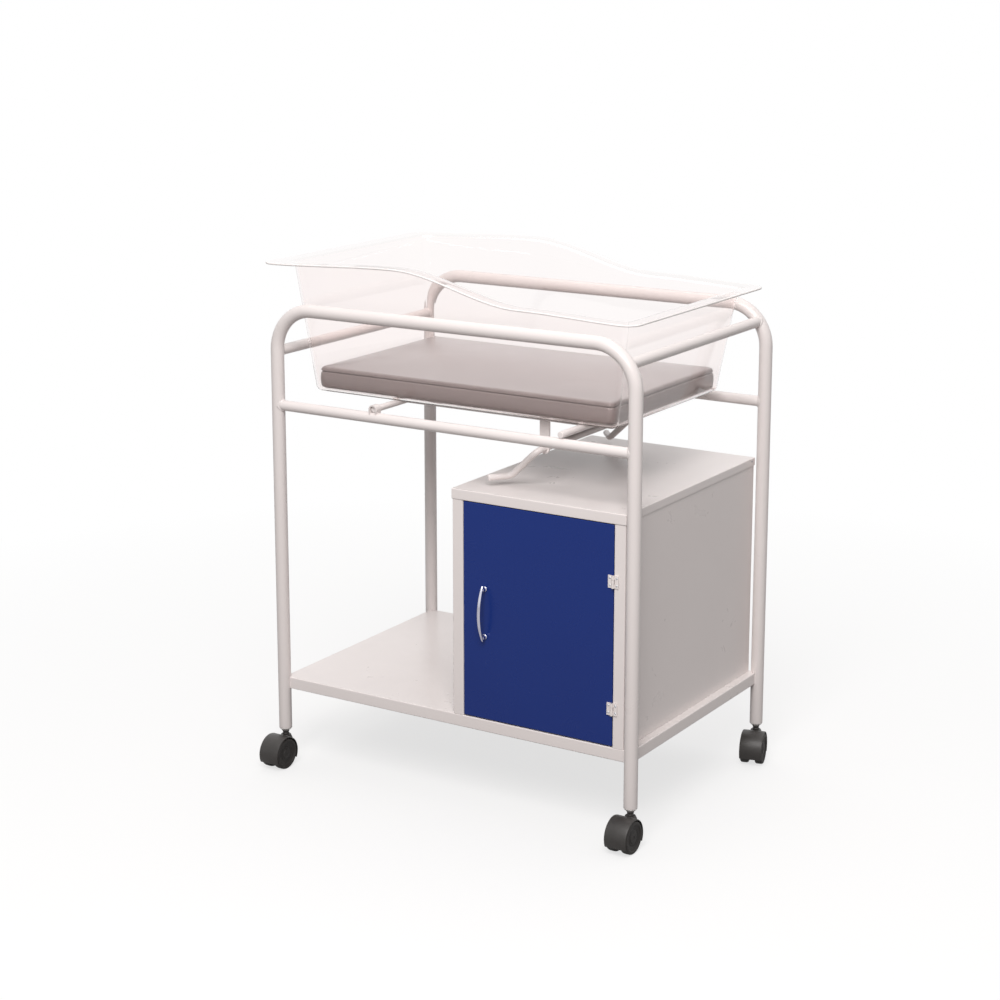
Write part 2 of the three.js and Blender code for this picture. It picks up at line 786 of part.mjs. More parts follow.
// Side view of the hood: a sector over the wheels that closes round the axle.
function hoodProfile(radius) {
  const front = THREE.MathUtils.degToRad(hoodFrontAngle);
  const rear = THREE.MathUtils.degToRad(hoodRearAngle);
  const profile = new THREE.Shape();
  profile.absarc(0, 0, radius, rear, front, false);
  profile.absarc(0, 0, hoodHubD / 2, front, rear + 2 * Math.PI, false);
  return profile;
}

function buildCaster(suffix, x, y, turn) {
  const caster = new THREE.Group();
  caster.position.set(x, y, 0);
  caster.rotation.z = THREE.MathUtils.degToRad(turn);
  bassinet.add(caster);

  const wheelR = wheelD / 2;
  const wellR = wheelR + hoodWheelGap;
  const innerX = hoodWebT / 2 + wheelSideGap;
  const hoodW = 2 * (innerX + wheelW);
  const onAxle = (geometry, along = 0) => geometry.translate(along, -casterTrail, wheelR);
  const neckR = stemNeckD / 2;
  const neckBottomZ = wheelR + axleD;

  const fender = onAxle(prism(hoodProfile(wellR + hoodWall), hoodW, alongX));
  const bossH = hoodTopZ - wheelR;
  const boss = rod(hoodBossD, bossH, alongZ, tubeSides).translate(0, 0, hoodTopZ - bossH / 2);
  const wells = [-1, 1].map((side) =>
    onAxle(
      rod(2 * wellR, wheelW + 2 * wheelSideGap, alongX, wheelSides),
      side * (hoodWebT / 2 + wheelSideGap + wheelW / 2),
    ),
  );
  const axleBore = onAxle(rod(axleD + 2 * seatGap, 2 * hoodW, alongX));
  const neckBoreH = hoodTopZ - neckBottomZ + seatGap;
  const neckBore = rod(stemNeckD + 2 * runGap, 2 * neckBoreH, alongZ).translate(0, 0, hoodTopZ);
  const hood = cut(join(fender, boss), ...wells, axleBore, neckBore);
  add(`caster_${suffix}_hood`, hood, blackPlastic, caster);

  const axle = onAxle(rod(axleD, hoodWebT + 2 * (wheelSideGap + axleReach), alongX));
  add(`caster_${suffix}_axle`, axle, zincSteel, caster);

  const boreR = axleD / 2 + runGap;
  const hubR = wheelHubD / 2;
  const treadR = wheelR / Math.cos(Math.PI / wheelSides);
  const rimR = treadR - 2 * wheelShoulder;
  const wheel = turned(
    [[0, axleReach + runGap], [boreR, axleReach + runGap], [boreR, 0], [treadR - wheelShoulder, 0],
      [treadR, wheelShoulder], [treadR, wheelW - wheelShoulder], [treadR - wheelShoulder, wheelW],
      [rimR, wheelW], [rimR - wheelDish, wheelW - wheelDish], [hubR + wheelDish, wheelW - wheelDish],
      [hubR, wheelW - wheelDish / 2], [0, wheelW - wheelDish / 2]],
    wheelSides,
  ).rotateZ(Math.PI / wheelSides);
  const facing = { left: -1, right: 1 };
  for (const [place, side] of Object.entries(facing)) {
    const standing = wheel.clone().rotateY((side * Math.PI) / 2);
    add(`caster_${suffix}_wheel_${place}`, onAxle(standing, side * innerX), blackPlastic, caster);
  }

  const stemR = stemD / 2;
  const stem = turned(
    [[0, neckBottomZ], [neckR, neckBottomZ], [neckR, hoodTopZ + seatGap],
      [stemR + 1, hoodTopZ + seatGap], [stemR + 1, plugBottomZ - seatGap],
      [stemR, plugBottomZ - seatGap], [stemR, plugBottomZ + stemRise - 1],
      [stemR - 1, plugBottomZ + stemRise], [0, plugBottomZ + stemRise]],
    rodSides,
  );
  add(`caster_${suffix}_stem`, stem, blackPlastic, caster);
}

function buildLegPlug(suffix, x, y) {
  const boreR = stemD / 2 + seatGap;
  const shankR = frameR - tubeWall - seatGap;
  const bottom = plugBottomZ;
  const seat = legEndZ - seatGap;
  const top = legEndZ + plugShankH;
  const plug = turned(
    [[boreR, bottom], [frameR - plugChamfer, bottom], [frameR, bottom + plugChamfer], [frameR, seat],
      [shankR, seat], [shankR, top - 1], [shankR - 1, top], [boreR, top], [boreR, bottom]],
    tubeSides,
  );
  add(`leg_plug_${suffix}`, plug.translate(x, y, 0), palePlastic);
}

buildFrame();
buildShelf();
buildCabinet();
buildDoor();
buildHinges();
buildCradle();
buildStay();
buildTub();
buildMattress();
for (const [suffix, turn] of Object.entries(casterTurns)) {
  const y = suffix[0] === 'f' ? -legY : legY;
  const x = suffix[1] === 'l' ? -legX : legX;
  buildLegPlug(suffix, x, y);
  buildCaster(suffix, x, y, turn);
}

export default bassinet;
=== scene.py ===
import math

import bmesh
import bpy
from mathutils import Matrix, Vector, noise


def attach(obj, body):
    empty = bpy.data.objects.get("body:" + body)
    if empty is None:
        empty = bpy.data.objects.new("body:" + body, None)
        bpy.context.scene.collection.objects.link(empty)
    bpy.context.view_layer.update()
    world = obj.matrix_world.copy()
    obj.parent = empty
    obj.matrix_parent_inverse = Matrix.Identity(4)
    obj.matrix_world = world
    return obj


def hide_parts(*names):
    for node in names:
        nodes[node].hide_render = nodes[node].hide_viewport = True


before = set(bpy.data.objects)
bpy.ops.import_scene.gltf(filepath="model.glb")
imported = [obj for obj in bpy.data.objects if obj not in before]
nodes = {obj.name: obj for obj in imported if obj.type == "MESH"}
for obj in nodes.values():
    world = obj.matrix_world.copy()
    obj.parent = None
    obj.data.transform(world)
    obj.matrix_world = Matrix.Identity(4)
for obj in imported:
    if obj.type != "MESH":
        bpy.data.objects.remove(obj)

scene = bpy.context.scene
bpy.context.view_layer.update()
print("frame loaded:", len(nodes), "nodes")


# Node helpers and the effects that several finishes share

def addNode(tree, kind, inputs=None, **settings):
    node = tree.nodes.new(kind)
    for name, value in settings.items():
        setattr(node, name, value)
    for name, value in (inputs or {}).items():
        if isinstance(value, bpy.types.NodeSocket):
            tree.links.new(value, node.inputs[name])
        else:
            node.inputs[name].default_value = value
    return node


def newGroup(name, inputs, outputs):
    group = bpy.data.node_groups.new(name, "ShaderNodeTree")
    for label, kind, value in inputs:
        socket = group.interface.new_socket(label, in_out="INPUT", socket_type=kind)
        socket.default_value = value
    for label, kind in outputs:
        group.interface.new_socket(label, in_out="OUTPUT", socket_type=kind)
    return group, addNode(group, "NodeGroupInput").outputs, addNode(group, "NodeGroupOutput").inputs


def mixColour(tree, factor, first, second):
    node = addNode(tree, "ShaderNodeMix", data_type="RGBA")
    for index, value in ((0, factor), (6, first), (7, second)):
        if isinstance(value, bpy.types.NodeSocket):
            tree.links.new(value, node.inputs[index])
        else:
            node.inputs[index].default_value = value
    return node.outputs[2]


def rescale(tree, value, low, high, outLow, outHigh):
    node = addNode(tree, "ShaderNodeMapRange", {"Value": value})
    for name, number in (("From Min", low), ("From Max", high), ("To Min", outLow), ("To Max", outHigh)):
        if isinstance(number, bpy.types.NodeSocket):
            tree.links.new(number, node.inputs[name])
        else:
            node.inputs[name].default_value = number
    return node.outputs["Result"]


floatKind, colourKind = "NodeSocketFloat", "NodeSocketColor"


def makeToneDrift():  # slow change of tone over a painted or moulded surface
    group, given, out = newGroup(
        "toneDrift",
        [("Tone A", colourKind, (0.8, 0.8, 0.8, 1)), ("Tone B", colourKind, (0.7, 0.7, 0.7, 1)),
         ("Scale", floatKind, 3.0)],
        [("Colour", colourKind)])
    place = addNode(group, "ShaderNodeTexCoord").outputs["Object"]
    cloud = addNode(group, "ShaderNodeTexNoise",
                    {"Vector": place, "Scale": given["Scale"], "Detail": 4.0, "Roughness": 0.55})
    share = rescale(group, cloud.outputs["Fac"], 0.3, 0.7, 0.0, 1.0)
    group.links.new(mixColour(group, share, given["Tone A"], given["Tone B"]), out["Colour"])
    return group


def makeRoughDrift():  # handling marks that dull the gloss in patches
    group, given, out = newGroup(
        "roughDrift",
        [("Low", floatKind, 0.3), ("High", floatKind, 0.45), ("Scale", floatKind, 12.0)],
        [("Roughness", floatKind)])
    place = addNode(group, "ShaderNodeTexCoord").outputs["Object"]
    smears = addNode(group, "ShaderNodeTexNoise",
                     {"Vector": place, "Scale": given["Scale"], "Detail": 6.0, "Roughness": 0.65,
                      "Distortion": 0.6})
    value = rescale(group, smears.outputs["Fac"], 0.3, 0.72, given["Low"], given["High"])
    group.links.new(value, out["Roughness"])
    return group


def makeOrangePeel():  # the fine unevenness of a sprayed or moulded skin
    group, given, out = newGroup(
        "orangePeel",
        [("Scale", floatKind, 600.0), ("Broad", floatKind, 0.35)],
        [("Height", floatKind)])
    place = addNode(group, "ShaderNodeTexCoord").outputs["Object"]
    fine = addNode(group, "ShaderNodeTexNoise", {"Vector": place, "Scale": given["Scale"], "Detail": 2.0})
    quarter = addNode(group, "ShaderNodeMath", operation="MULTIPLY")
    group.links.new(given["Scale"], quarter.inputs[0])
    quarter.inputs[1].default_value = 0.12
    broad = addNode(group, "ShaderNodeTexNoise",
                    {"Vector": place, "Scale": quarter.outputs[0], "Detail": 1.0})
    mixed = addNode(group, "ShaderNodeMix",
                    {"Factor": given["Broad"], "A": fine.outputs["Fac"], "B": broad.outputs["Fac"]})
    group.links.new(mixed.outputs[0], out["Height"])
    return group


def makeEdgeRub():  # paler, worn paint where the shape turns sharply
    group, given, out = newGroup(
        "edgeRub",
        [("Colour", colourKind, (0.8, 0.8, 0.8, 1)), ("Rubbed", colourKind, (0.9, 0.9, 0.9, 1)),
         ("Amount", floatKind, 0.5)],
        [("Colour", colourKind), ("Mask", floatKind)])
    sharp = addNode(group, "ShaderNodeNewGeometry").outputs["Pointiness"]
    ridge = rescale(group, sharp, 0.52, 0.62, 0.0, 1.0)
    place = addNode(group, "ShaderNodeTexCoord").outputs["Object"]
    breaks = addNode(group, "ShaderNodeTexNoise", {"Vector": place, "Scale": 90.0, "Detail": 5.0})
    patches = rescale(group, breaks.outputs["Fac"], 0.42, 0.62, 0.0, 1.0)
    worn = addNode(group, "ShaderNodeMath", operation="MULTIPLY")
    group.links.new(ridge, worn.inputs[0])
    group.links.new(patches, worn.inputs[1])
    mask = addNode(group, "ShaderNodeMath", operation="MULTIPLY")
    group.links.new(worn.outputs[0], mask.inputs[0])
    group.links.new(given["Amount"], mask.inputs[1])
    group.links.new(mixColour(group, mask.outputs[0], given["Colour"], given["Rubbed"]), out["Colour"])
    group.links.new(mask.outputs[0], out["Mask"])
    return group


def makeSettledDust():  # a thin film on what faces up
    group, given, out = newGroup(
        "settledDust",
        [("Colour", colourKind, (0.8, 0.8, 0.8, 1)), ("Dust", colourKind, (0.6, 0.57, 0.54, 1)),
         ("Amount", floatKind, 0.1)],
        [("Colour", colourKind), ("Mask", floatKind)])
    normal = addNode(group, "ShaderNodeNewGeometry").outputs["Normal"]
    up = addNode(group, "ShaderNodeSeparateXYZ", {"Vector": normal}).outputs["Z"]
    flat = rescale(group, up, 0.55, 0.98, 0.0, 1.0)
    place = addNode(group, "ShaderNodeTexCoord").outputs["Object"]
    drift = addNode(group, "ShaderNodeTexNoise", {"Vector": place, "Scale": 22.0, "Detail": 7.0})
    patches = rescale(group, drift.outputs["Fac"], 0.35, 0.75, 0.0, 1.0)
    lying = addNode(group, "ShaderNodeMath", operation="MULTIPLY")
    group.links.new(flat, lying.inputs[0])
    group.links.new(patches, lying.inputs[1])
    mask = addNode(group, "ShaderNodeMath", operation="MULTIPLY")
    group.links.new(lying.outputs[0], mask.inputs[0])
    group.links.new(given["Amount"], mask.inputs[1])
    group.links.new(mixColour(group, mask.outputs[0], given["Colour"], given["Dust"]), out["Colour"])
    group.links.new(mask.outputs[0], out["Mask"])
    return group


def makePaintedTopLightMask():  # the top panel: it gets a clear coat and a paler tone that is painted light, for the light and reflection the top catches
    group, given, out = newGroup("paintedTopLightMask", [("From", floatKind, 0.60), ("To", floatKind, 0.97)],
                                 [("Mask", floatKind)])
    normal = addNode(group, "ShaderNodeNewGeometry").outputs["Normal"]
    up = addNode(group, "ShaderNodeSeparateXYZ", {"Vector": normal}).outputs["Z"]
    group.links.new(rescale(group, up, given["From"], given["To"], 0.0, 1.0), out["Mask"])
    return group


toneDrift = makeToneDrift()
roughDrift = makeRoughDrift()
orangePeel = makeOrangePeel()
edgeRub = makeEdgeRub()
settledDust = makeSettledDust()
paintedTopLightMask = makePaintedTopLightMask()


def useGroup(tree, group, inputs):
    node = tree.nodes.new("ShaderNodeGroup")
    node.node_tree = group
    for name, value in inputs.items():
        if isinstance(value, bpy.types.NodeSocket):
            tree.links.new(value, node.inputs[name])
        else:
            node.inputs[name].default_value = value
    return node.outputs


def tone(red, green, blue):
    return (red, green, blue, 1.0)


finishSettings = {
    "whitePowderCoat": {
        "toneA": tone(0.855, 0.80, 0.784), "toneB": tone(0.825, 0.767, 0.751), "toneScale": 2.4,
        "rough": (0.27, 0.31), "peelScale": 520.0, "peelDepth": 0.04,
        "dust": 0.06, "specular": 0.5,
    },
    "blueEnamel": {
        "toneA": tone(0.0095, 0.033, 0.206), "toneB": tone(0.0080, 0.028, 0.184), "toneScale": 1.6,
        "rough": (0.265, 0.285), "peelScale": 420.0, "peelDepth": 0.008,
        "dust": 0.0, "specular": 0.25,
    },
    "palePlastic": {
        "toneA": tone(0.74, 0.715, 0.70), "toneB": tone(0.70, 0.67, 0.65), "toneScale": 20.0,
        "rough": (0.42, 0.55), "peelScale": 1400.0, "peelDepth": 0.06,
        "dust": 0.08, "rub": 0.3, "rubbed": tone(0.80, 0.78, 0.77), "specular": 0.5,
    },
    "blackPlastic": {
        "toneA": tone(0.038, 0.034, 0.032), "toneB": tone(0.030, 0.027, 0.025), "toneScale": 25.0,
        "rough": (0.38, 0.52), "peelScale": 1800.0, "peelDepth": 0.10,
        "dust": 0.06, "rub": 0.5, "rubbed": tone(0.085, 0.08, 0.078), "specular": 0.5,
    },
    "wheelTread": {
        "toneA": tone(0.018, 0.016, 0.015), "toneB": tone(0.026, 0.023, 0.022), "toneScale": 45.0,
        "rough": (0.50, 0.72), "peelScale": 1500.0, "peelDepth": 0.14,
        "dust": 0.05, "rub": 0.6, "rubbed": tone(0.09, 0.085, 0.08), "specular": 0.35,
    },
}


def coatedFinish(name):
    look = finishSettings[name]
    material = bpy.data.materials.new(name)
    material.use_nodes = True
    tree = material.node_tree
    shader = tree.nodes["Principled BSDF"]
    base = useGroup(tree, toneDrift, {"Tone A": look["toneA"], "Tone B": look["toneB"],
                                      "Scale": look["toneScale"]})["Colour"]
    skin = useGroup(tree, settledDust, {"Colour": base, "Amount": look["dust"]})["Colour"]
    if "rub" in look:
        skin = useGroup(tree, edgeRub, {"Colour": skin, "Rubbed": look["rubbed"],
                                        "Amount": look["rub"]})["Colour"]
    rough = useGroup(tree, roughDrift, {"Low": look["rough"][0], "High": look["rough"][1]})
    peel = useGroup(tree, orangePeel, {"Scale": look["peelScale"]})
    bump = addNode(tree, "ShaderNodeBump",
                   {"Strength": look["peelDepth"], "Distance": 0.001, "Height": peel["Height"]})
    tree.links.new(skin, shader.inputs["Base Color"])
    tree.links.new(rough["Roughness"], shader.inputs["Roughness"])
    tree.links.new(bump.outputs["Normal"], shader.inputs["Normal"])
    shader.inputs["Specular IOR Level"].default_value = look["specular"]
    return material


metalSettings = {
    "chromePlate": {"toneA": tone(0.66, 0.66, 0.76), "toneB": tone(0.56, 0.56, 0.66), "toneScale": 40.0,
                    "rough": (0.08, 0.22), "roughScale": 60.0, "peelScale": 900.0, "peelDepth": 0.015},
    "zincSteel": {"toneA": tone(0.62, 0.63, 0.65), "toneB": tone(0.50, 0.51, 0.54), "toneScale": 160.0,
                  "rough": (0.28, 0.46), "roughScale": 180.0, "peelScale": 1300.0, "peelDepth": 0.06},
}


def metalFinish(name):
    look = metalSettings[name]
    material = bpy.data.materials.new(name)
    material.use_nodes = True
    tree = material.node_tree
    shader = tree.nodes["Principled BSDF"]
    shader.inputs["Metallic"].default_value = 1.0
    base = useGroup(tree, toneDrift, {"Tone A": look["toneA"], "Tone B": look["toneB"],
                                      "Scale": look["toneScale"]})
    rough = useGroup(tree, roughDrift, {"Low": look["rough"][0], "High": look["rough"][1],
                                        "Scale": look["roughScale"]})
    peel = useGroup(tree, orangePeel, {"Scale": look["peelScale"]})
    bump = addNode(tree, "ShaderNodeBump",
                   {"Strength": look["peelDepth"], "Distance": 0.001, "Height": peel["Height"]})
    tree.links.new(base["Colour"], shader.inputs["Base Color"])
    tree.links.new(rough["Roughness"], shader.inputs["Roughness"])
    tree.links.new(bump.outputs["Normal"], shader.inputs["Normal"])
    return material


acrylicSettings = {"toneA": tone(1.0, 0.965, 0.955), "toneB": tone(0.985, 0.95, 0.945),
                   "rough": (0.0, 0.012), "ior": 1.37, "peelDepth": 0.008,
                   "edgeA": tone(0.90, 0.86, 0.845), "edgeB": tone(0.95, 0.91, 0.90)}


def acrylicFinish(name):
    look = acrylicSettings
    material = bpy.data.materials.new(name)
    material.use_nodes = True
    tree = material.node_tree
    shader = tree.nodes["Principled BSDF"]
    shader.inputs["Transmission Weight"].default_value = 1.0
    shader.inputs["IOR"].default_value = look["ior"]
    base = useGroup(tree, toneDrift, {"Tone A": look["toneA"], "Tone B": look["toneB"], "Scale": 4.0})
    rough = useGroup(tree, roughDrift, {"Low": look["rough"][0], "High": look["rough"][1], "Scale": 9.0})
    peel = useGroup(tree, orangePeel, {"Scale": 60.0})
    bump = addNode(tree, "ShaderNodeBump",
                   {"Strength": look["peelDepth"], "Distance": 0.001, "Height": peel["Height"]})
    tree.links.new(base["Colour"], shader.inputs["Base Color"])
    tree.links.new(rough["Roughness"], shader.inputs["Roughness"])
    tree.links.new(bump.outputs["Normal"], shader.inputs["Normal"])
    clear = addNode(tree, "ShaderNodeBsdfTransparent", {"Color": tone(0.985, 0.975, 0.972)})
    ray = addNode(tree, "ShaderNodeLightPath").outputs
    bounces = addNode(tree, "ShaderNodeMath", {0: ray["Diffuse Depth"], 1: 2.0, 2: ray["Glossy Depth"]},
                      operation="MULTIPLY_ADD")
    trapped = addNode(tree, "ShaderNodeMath", {0: bounces.outputs[0], 1: 1.5}, operation="GREATER_THAN")
    free = addNode(tree, "ShaderNodeMath", {0: ray["Is Shadow Ray"], 1: trapped.outputs[0]}, operation="MAXIMUM")
    pick = addNode(tree, "ShaderNodeMixShader", {"Fac": free.outputs[0]})  # light caught in a wall gets out
    tree.links.new(shader.outputs[0], pick.inputs[1])
    tree.links.new(clear.outputs[0], pick.inputs[2])
    tree.links.new(pick.outputs[0], tree.nodes["Material Output"].inputs["Surface"])
    return material


def acrylicEdgeFinish(name):  # the cut edge of the flange, pale where the walls are clear
    look = acrylicSettings
    material = bpy.data.materials.new(name)
    material.use_nodes = True
    tree = material.node_tree
    shader = tree.nodes["Principled BSDF"]
    base = useGroup(tree, toneDrift, {"Tone A": look["edgeA"], "Tone B": look["edgeB"], "Scale": 30.0})
    rough = useGroup(tree, roughDrift, {"Low": 0.15, "High": 0.35, "Scale": 40.0})
    tree.links.new(base["Colour"], shader.inputs["Base Color"])
    tree.links.new(rough["Roughness"], shader.inputs["Roughness"])
    through = addNode(tree, "ShaderNodeBsdfTransparent", {"Color": tone(1.0, 0.98, 0.975)})
    fromInside = addNode(tree, "ShaderNodeNewGeometry").outputs["Backfacing"]
    pick = addNode(tree, "ShaderNodeMixShader", {"Fac": fromInside})
    tree.links.new(shader.outputs[0], pick.inputs[1])
    tree.links.new(through.outputs[0], pick.inputs[2])
    tree.links.new(pick.outputs[0], tree.nodes["Material Output"].inputs["Surface"])
    return material


# the top tone is painted light: a paler colour on the top faces for the light and reflection they catch, over the same
# vinyl as the sides
vinylSettings = {"toneA": tone(0.282, 0.234, 0.228), "toneB": tone(0.259, 0.215, 0.210), "toneScale": 4.0,
                 "paintedTopLightTone": tone(0.355, 0.305, 0.301), "rough": (0.30, 0.40), "specular": 0.35, "topCoat": 0.9,
                 "grainScale": 900.0, "grainDepth": 0.02}


def vinylFinish(name):
    look = vinylSettings
    material = bpy.data.materials.new(name)
    material.use_nodes = True
    tree = material.node_tree
    shader = tree.nodes["Principled BSDF"]
    base = useGroup(tree, toneDrift, {"Tone A": look["toneA"], "Tone B": look["toneB"],
                                      "Scale": look["toneScale"]})["Colour"]
    # mask of the top faces, used for the painted light of the top tone and for the coat
    top = useGroup(tree, paintedTopLightMask, {})["Mask"]
    rough = useGroup(tree, roughDrift, {"Low": look["rough"][0], "High": look["rough"][1]})
    place = addNode(tree, "ShaderNodeTexCoord").outputs["Object"]
    cells = addNode(tree, "ShaderNodeTexVoronoi", {"Vector": place, "Scale": look["grainScale"]},
                    feature="DISTANCE_TO_EDGE")
    grain = addNode(tree, "ShaderNodeBump",
                    {"Strength": look["grainDepth"], "Distance": 0.001, "Height": cells.outputs["Distance"]})
    peel = useGroup(tree, orangePeel, {"Scale": 320.0})
    soft = addNode(tree, "ShaderNodeBump",
                   {"Strength": 0.06, "Distance": 0.001, "Height": peel["Height"],
                    "Normal": grain.outputs["Normal"]})
    # top faces take the paler top tone: painted light
    tree.links.new(mixColour(tree, top, base, look["paintedTopLightTone"]), shader.inputs["Base Color"])
    tree.links.new(rough["Roughness"], shader.inputs["Roughness"])
    tree.links.new(rescale(tree, top, 0.0, 1.0, 0.0, look["topCoat"]), shader.inputs["Coat Weight"])
    tree.links.new(soft.outputs["Normal"], shader.inputs["Normal"])
    shader.inputs["Specular IOR Level"].default_value = look["specular"]
    shader.inputs["Coat Roughness"].default_value = 0.30
    return material


finishes = {
    "white_paint": coatedFinish("whitePowderCoat"),
    "blue_paint": coatedFinish("blueEnamel"),
    "pale_plastic": coatedFinish("palePlastic"),
    "black_plastic": coatedFinish("blackPlastic"),
    "wheel_tread": coatedFinish("wheelTread"),
    "chrome_plate": metalFinish("chromePlate"),
    "zinc_steel": metalFinish("zincSteel"),
    "clear_plastic": acrylicFinish("clearAcrylic"),
    "vinyl_cover": vinylFinish("greyVinyl"),
}
acrylicEdge = acrylicEdgeFinish("acrylicEdge")
print("finishes made:", len(finishes))


# Modelling helpers

def pickVerts(geometry):
    return [part for part in geometry if isinstance(part, bmesh.types.BMVert)]


def pickEdges(geometry):
    return [part for part in geometry if isinstance(part, bmesh.types.BMEdge)]


def ringEdges(verts):
    inRing = set(verts)
    return list({edge for vert in verts for edge in vert.link_edges
                 if edge.verts[0] in inRing and edge.verts[1] in inRing})


def growLoop(bm, edges):
    grown = bmesh.ops.extrude_edge_only(bm, edges=edges)["geom"]
    verts = pickVerts(grown)
    return verts, ringEdges(verts)


def bentTube(bm, points, radius, bendRadius=0.0, sides=32, bendSteps=12, capRound=0.0):
    path = [Vector(point) for point in points]
    heading = (path[1] - path[0]).normalized()
    start = Matrix.Translation(path[0]) @ heading.to_track_quat("Z", "Y").to_matrix().to_4x4()
    verts = bmesh.ops.create_circle(bm, cap_ends=True, segments=sides, radius=radius, matrix=start)["verts"]
    edges = ringEdges(verts)
    capEdges = list(edges)
    here = path[0]
    for i in range(1, len(path)):
        heading = (path[i] - path[i - 1]).normalized()
        stop, bends = path[i], i < len(path) - 1
        if bends:
            onward = (path[i + 1] - path[i]).normalized()
            turn = heading.angle(onward)
            setBack = bendRadius * math.tan(turn / 2)
            stop = path[i] - heading * setBack
        verts, edges = growLoop(bm, edges)
        bmesh.ops.translate(bm, verts=verts, vec=stop - here)
        here = stop
        if bends:
            axis = heading.cross(onward).normalized()
            centre = stop + axis.cross(heading) * bendRadius
            spun = bmesh.ops.spin(bm, geom=verts + edges, cent=centre, axis=axis, angle=turn,
                                  steps=bendSteps)["geom_last"]
            verts, edges = pickVerts(spun), pickEdges(spun)
            here = path[i] + onward * setBack
    bmesh.ops.edgeloop_fill(bm, edges=edges)
    if capRound:
        bmesh.ops.bevel(bm, geom=capEdges + ringEdges(verts), offset=capRound, segments=4, profile=0.5,
                        affect="EDGES", material=-1)


def turnProfile(bm, profile, place, steps=40):
    before = set(bm.verts)
    verts = [bm.verts.new((radius, 0, height)) for radius, height in profile]
    edges = [bm.edges.new(pair) for pair in zip(verts, verts[1:])]
    bmesh.ops.spin(bm, geom=verts + edges, cent=(0, 0, 0), axis=(0, 0, 1), angle=2 * math.pi, steps=steps,
                   use_merge=True)
    made = [vert for vert in bm.verts if vert not in before]
    bmesh.ops.remove_doubles(bm, verts=made, dist=1e-7)
    bmesh.ops.transform(bm, matrix=place, verts=[vert for vert in bm.verts if vert not in before])


def easeEdges(bm, width, angle=30.0, segments=2):
    bmesh.ops.recalc_face_normals(bm, faces=bm.faces)
    sharp = [edge for edge in bm.edges
             if edge.is_manifold and edge.calc_face_angle(0.0) > math.radians(angle)]
    bmesh.ops.bevel(bm, geom=sharp, offset=width, segments=segments, profile=0.5, affect="EDGES",
                    material=-1, clamp_overlap=True)


def finishPiece(name, bm, slot, body, replaced=(), crease=38.0):
    bmesh.ops.remove_doubles(bm, verts=bm.verts, dist=1e-6)
    bmesh.ops.recalc_face_normals(bm, faces=bm.faces)
    mesh = bpy.data.meshes.new(name)
    bm.to_mesh(mesh)
    bm.free()
    mesh.polygons.foreach_set("use_smooth", [True] * len(mesh.polygons))
    mesh.set_sharp_from_angle(angle=math.radians(crease))
    mesh.materials.append(finishes[slot])
    piece = bpy.data.objects.new(name, mesh)
    scene.collection.objects.link(piece)
    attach(piece, body)
    if replaced:
        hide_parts(*replaced)
    return piece


# Tube frame: two bent frames, rails and end tubes, with their weld beads

frameTubes = {
    "legX": 0.382, "legY": 0.255, "legEnd": 0.075, "topRail": 0.900, "radius": 0.0125, "bend": 0.080,
    "railRadius": 0.010, "midRail": 0.715, "bead": 0.0019,
    "ends": {"head": (-0.382, 0.818), "foot": (0.366, 0.868)},  # x and height of each end tube
}


def buildFrameTubes():
    look = frameTubes
    legX, legY = look["legX"], look["legY"]
    for place, y in (("front", -legY), ("rear", legY)):
        bm = bmesh.new()
        bentTube(bm, [(-legX, y, look["legEnd"]), (-legX, y, look["topRail"]), (legX, y, look["topRail"]),
                      (legX, y, look["legEnd"])], look["radius"], look["bend"], 40, 20, 0.0006)
        finishPiece(place + "FrameTube", bm, "white_paint", "frame", [place + "_frame"])
        bm = bmesh.new()
        bentTube(bm, [(-legX, y, look["midRail"]), (legX, y, look["midRail"])], look["railRadius"])
        finishPiece(place + "MidRail", bm, "white_paint", "frame", [place + "_mid_rail"])
    for place, (x, z) in look["ends"].items():
        bm = bmesh.new()
        reach = legY - 0.002
        bentTube(bm, [(x, -reach, z), (x, reach, z)], look["railRadius"])
        finishPiece(place + "EndTube", bm, "white_paint", "frame", [place + "_end_tube"])


def weldRing(bm, joint, along, across):
    # a bead round a tube's end, pushed out to the round of the frame tube that it meets
    look = frameTubes
    before = set(bm.verts)
    start = joint + Vector((0, 0, look["railRadius"]))
    facing = Vector((0, 0, 1)).cross(along).to_track_quat("Z", "Y").to_matrix().to_4x4()
    ring = bmesh.ops.create_circle(bm, cap_ends=False, segments=8, radius=look["bead"],
                                   matrix=Matrix.Translation(start) @ facing)["verts"]
    bmesh.ops.spin(bm, geom=ring + ringEdges(ring), cent=joint, axis=along, angle=2 * math.pi, steps=36,
                   use_merge=True)
    for vert in [v for v in bm.verts if v not in before]:
        offset = min(abs((vert.co - joint).dot(across)), look["radius"])
        ripple = 1 + 0.12 * noise.noise(vert.co * 420)
        vert.co += along * math.sqrt(look["radius"] ** 2 - offset ** 2) * ripple


def buildWelds():
    look = frameTubes
    legX, legY, turn = look["legX"], look["legY"], look["bend"]
    (headX, headZ), (footX, footZ) = look["ends"]["head"], look["ends"]["foot"]
    fromBend = Vector((footX - legX + turn, 0, footZ - look["topRail"] + turn)).normalized()
    for place, side in (("front", -1), ("rear", 1)):
        bm = bmesh.new()
        y, inward = side * legY, Vector((0, -side, 0))
        for end in (-1, 1):
            weldRing(bm, Vector((end * legX, y, look["midRail"])), Vector((-end, 0, 0)), inward)
        weldRing(bm, Vector((headX, y, headZ)), inward, Vector((1, 0, 0)))
        weldRing(bm, Vector((footX, y, footZ)), inward, fromBend)
        finishPiece(place + "FrameWelds", bm, "white_paint", "frame", crease=80)


buildFrameTubes()
buildWelds()
print("frame tubes made")


# Leg plugs and casters

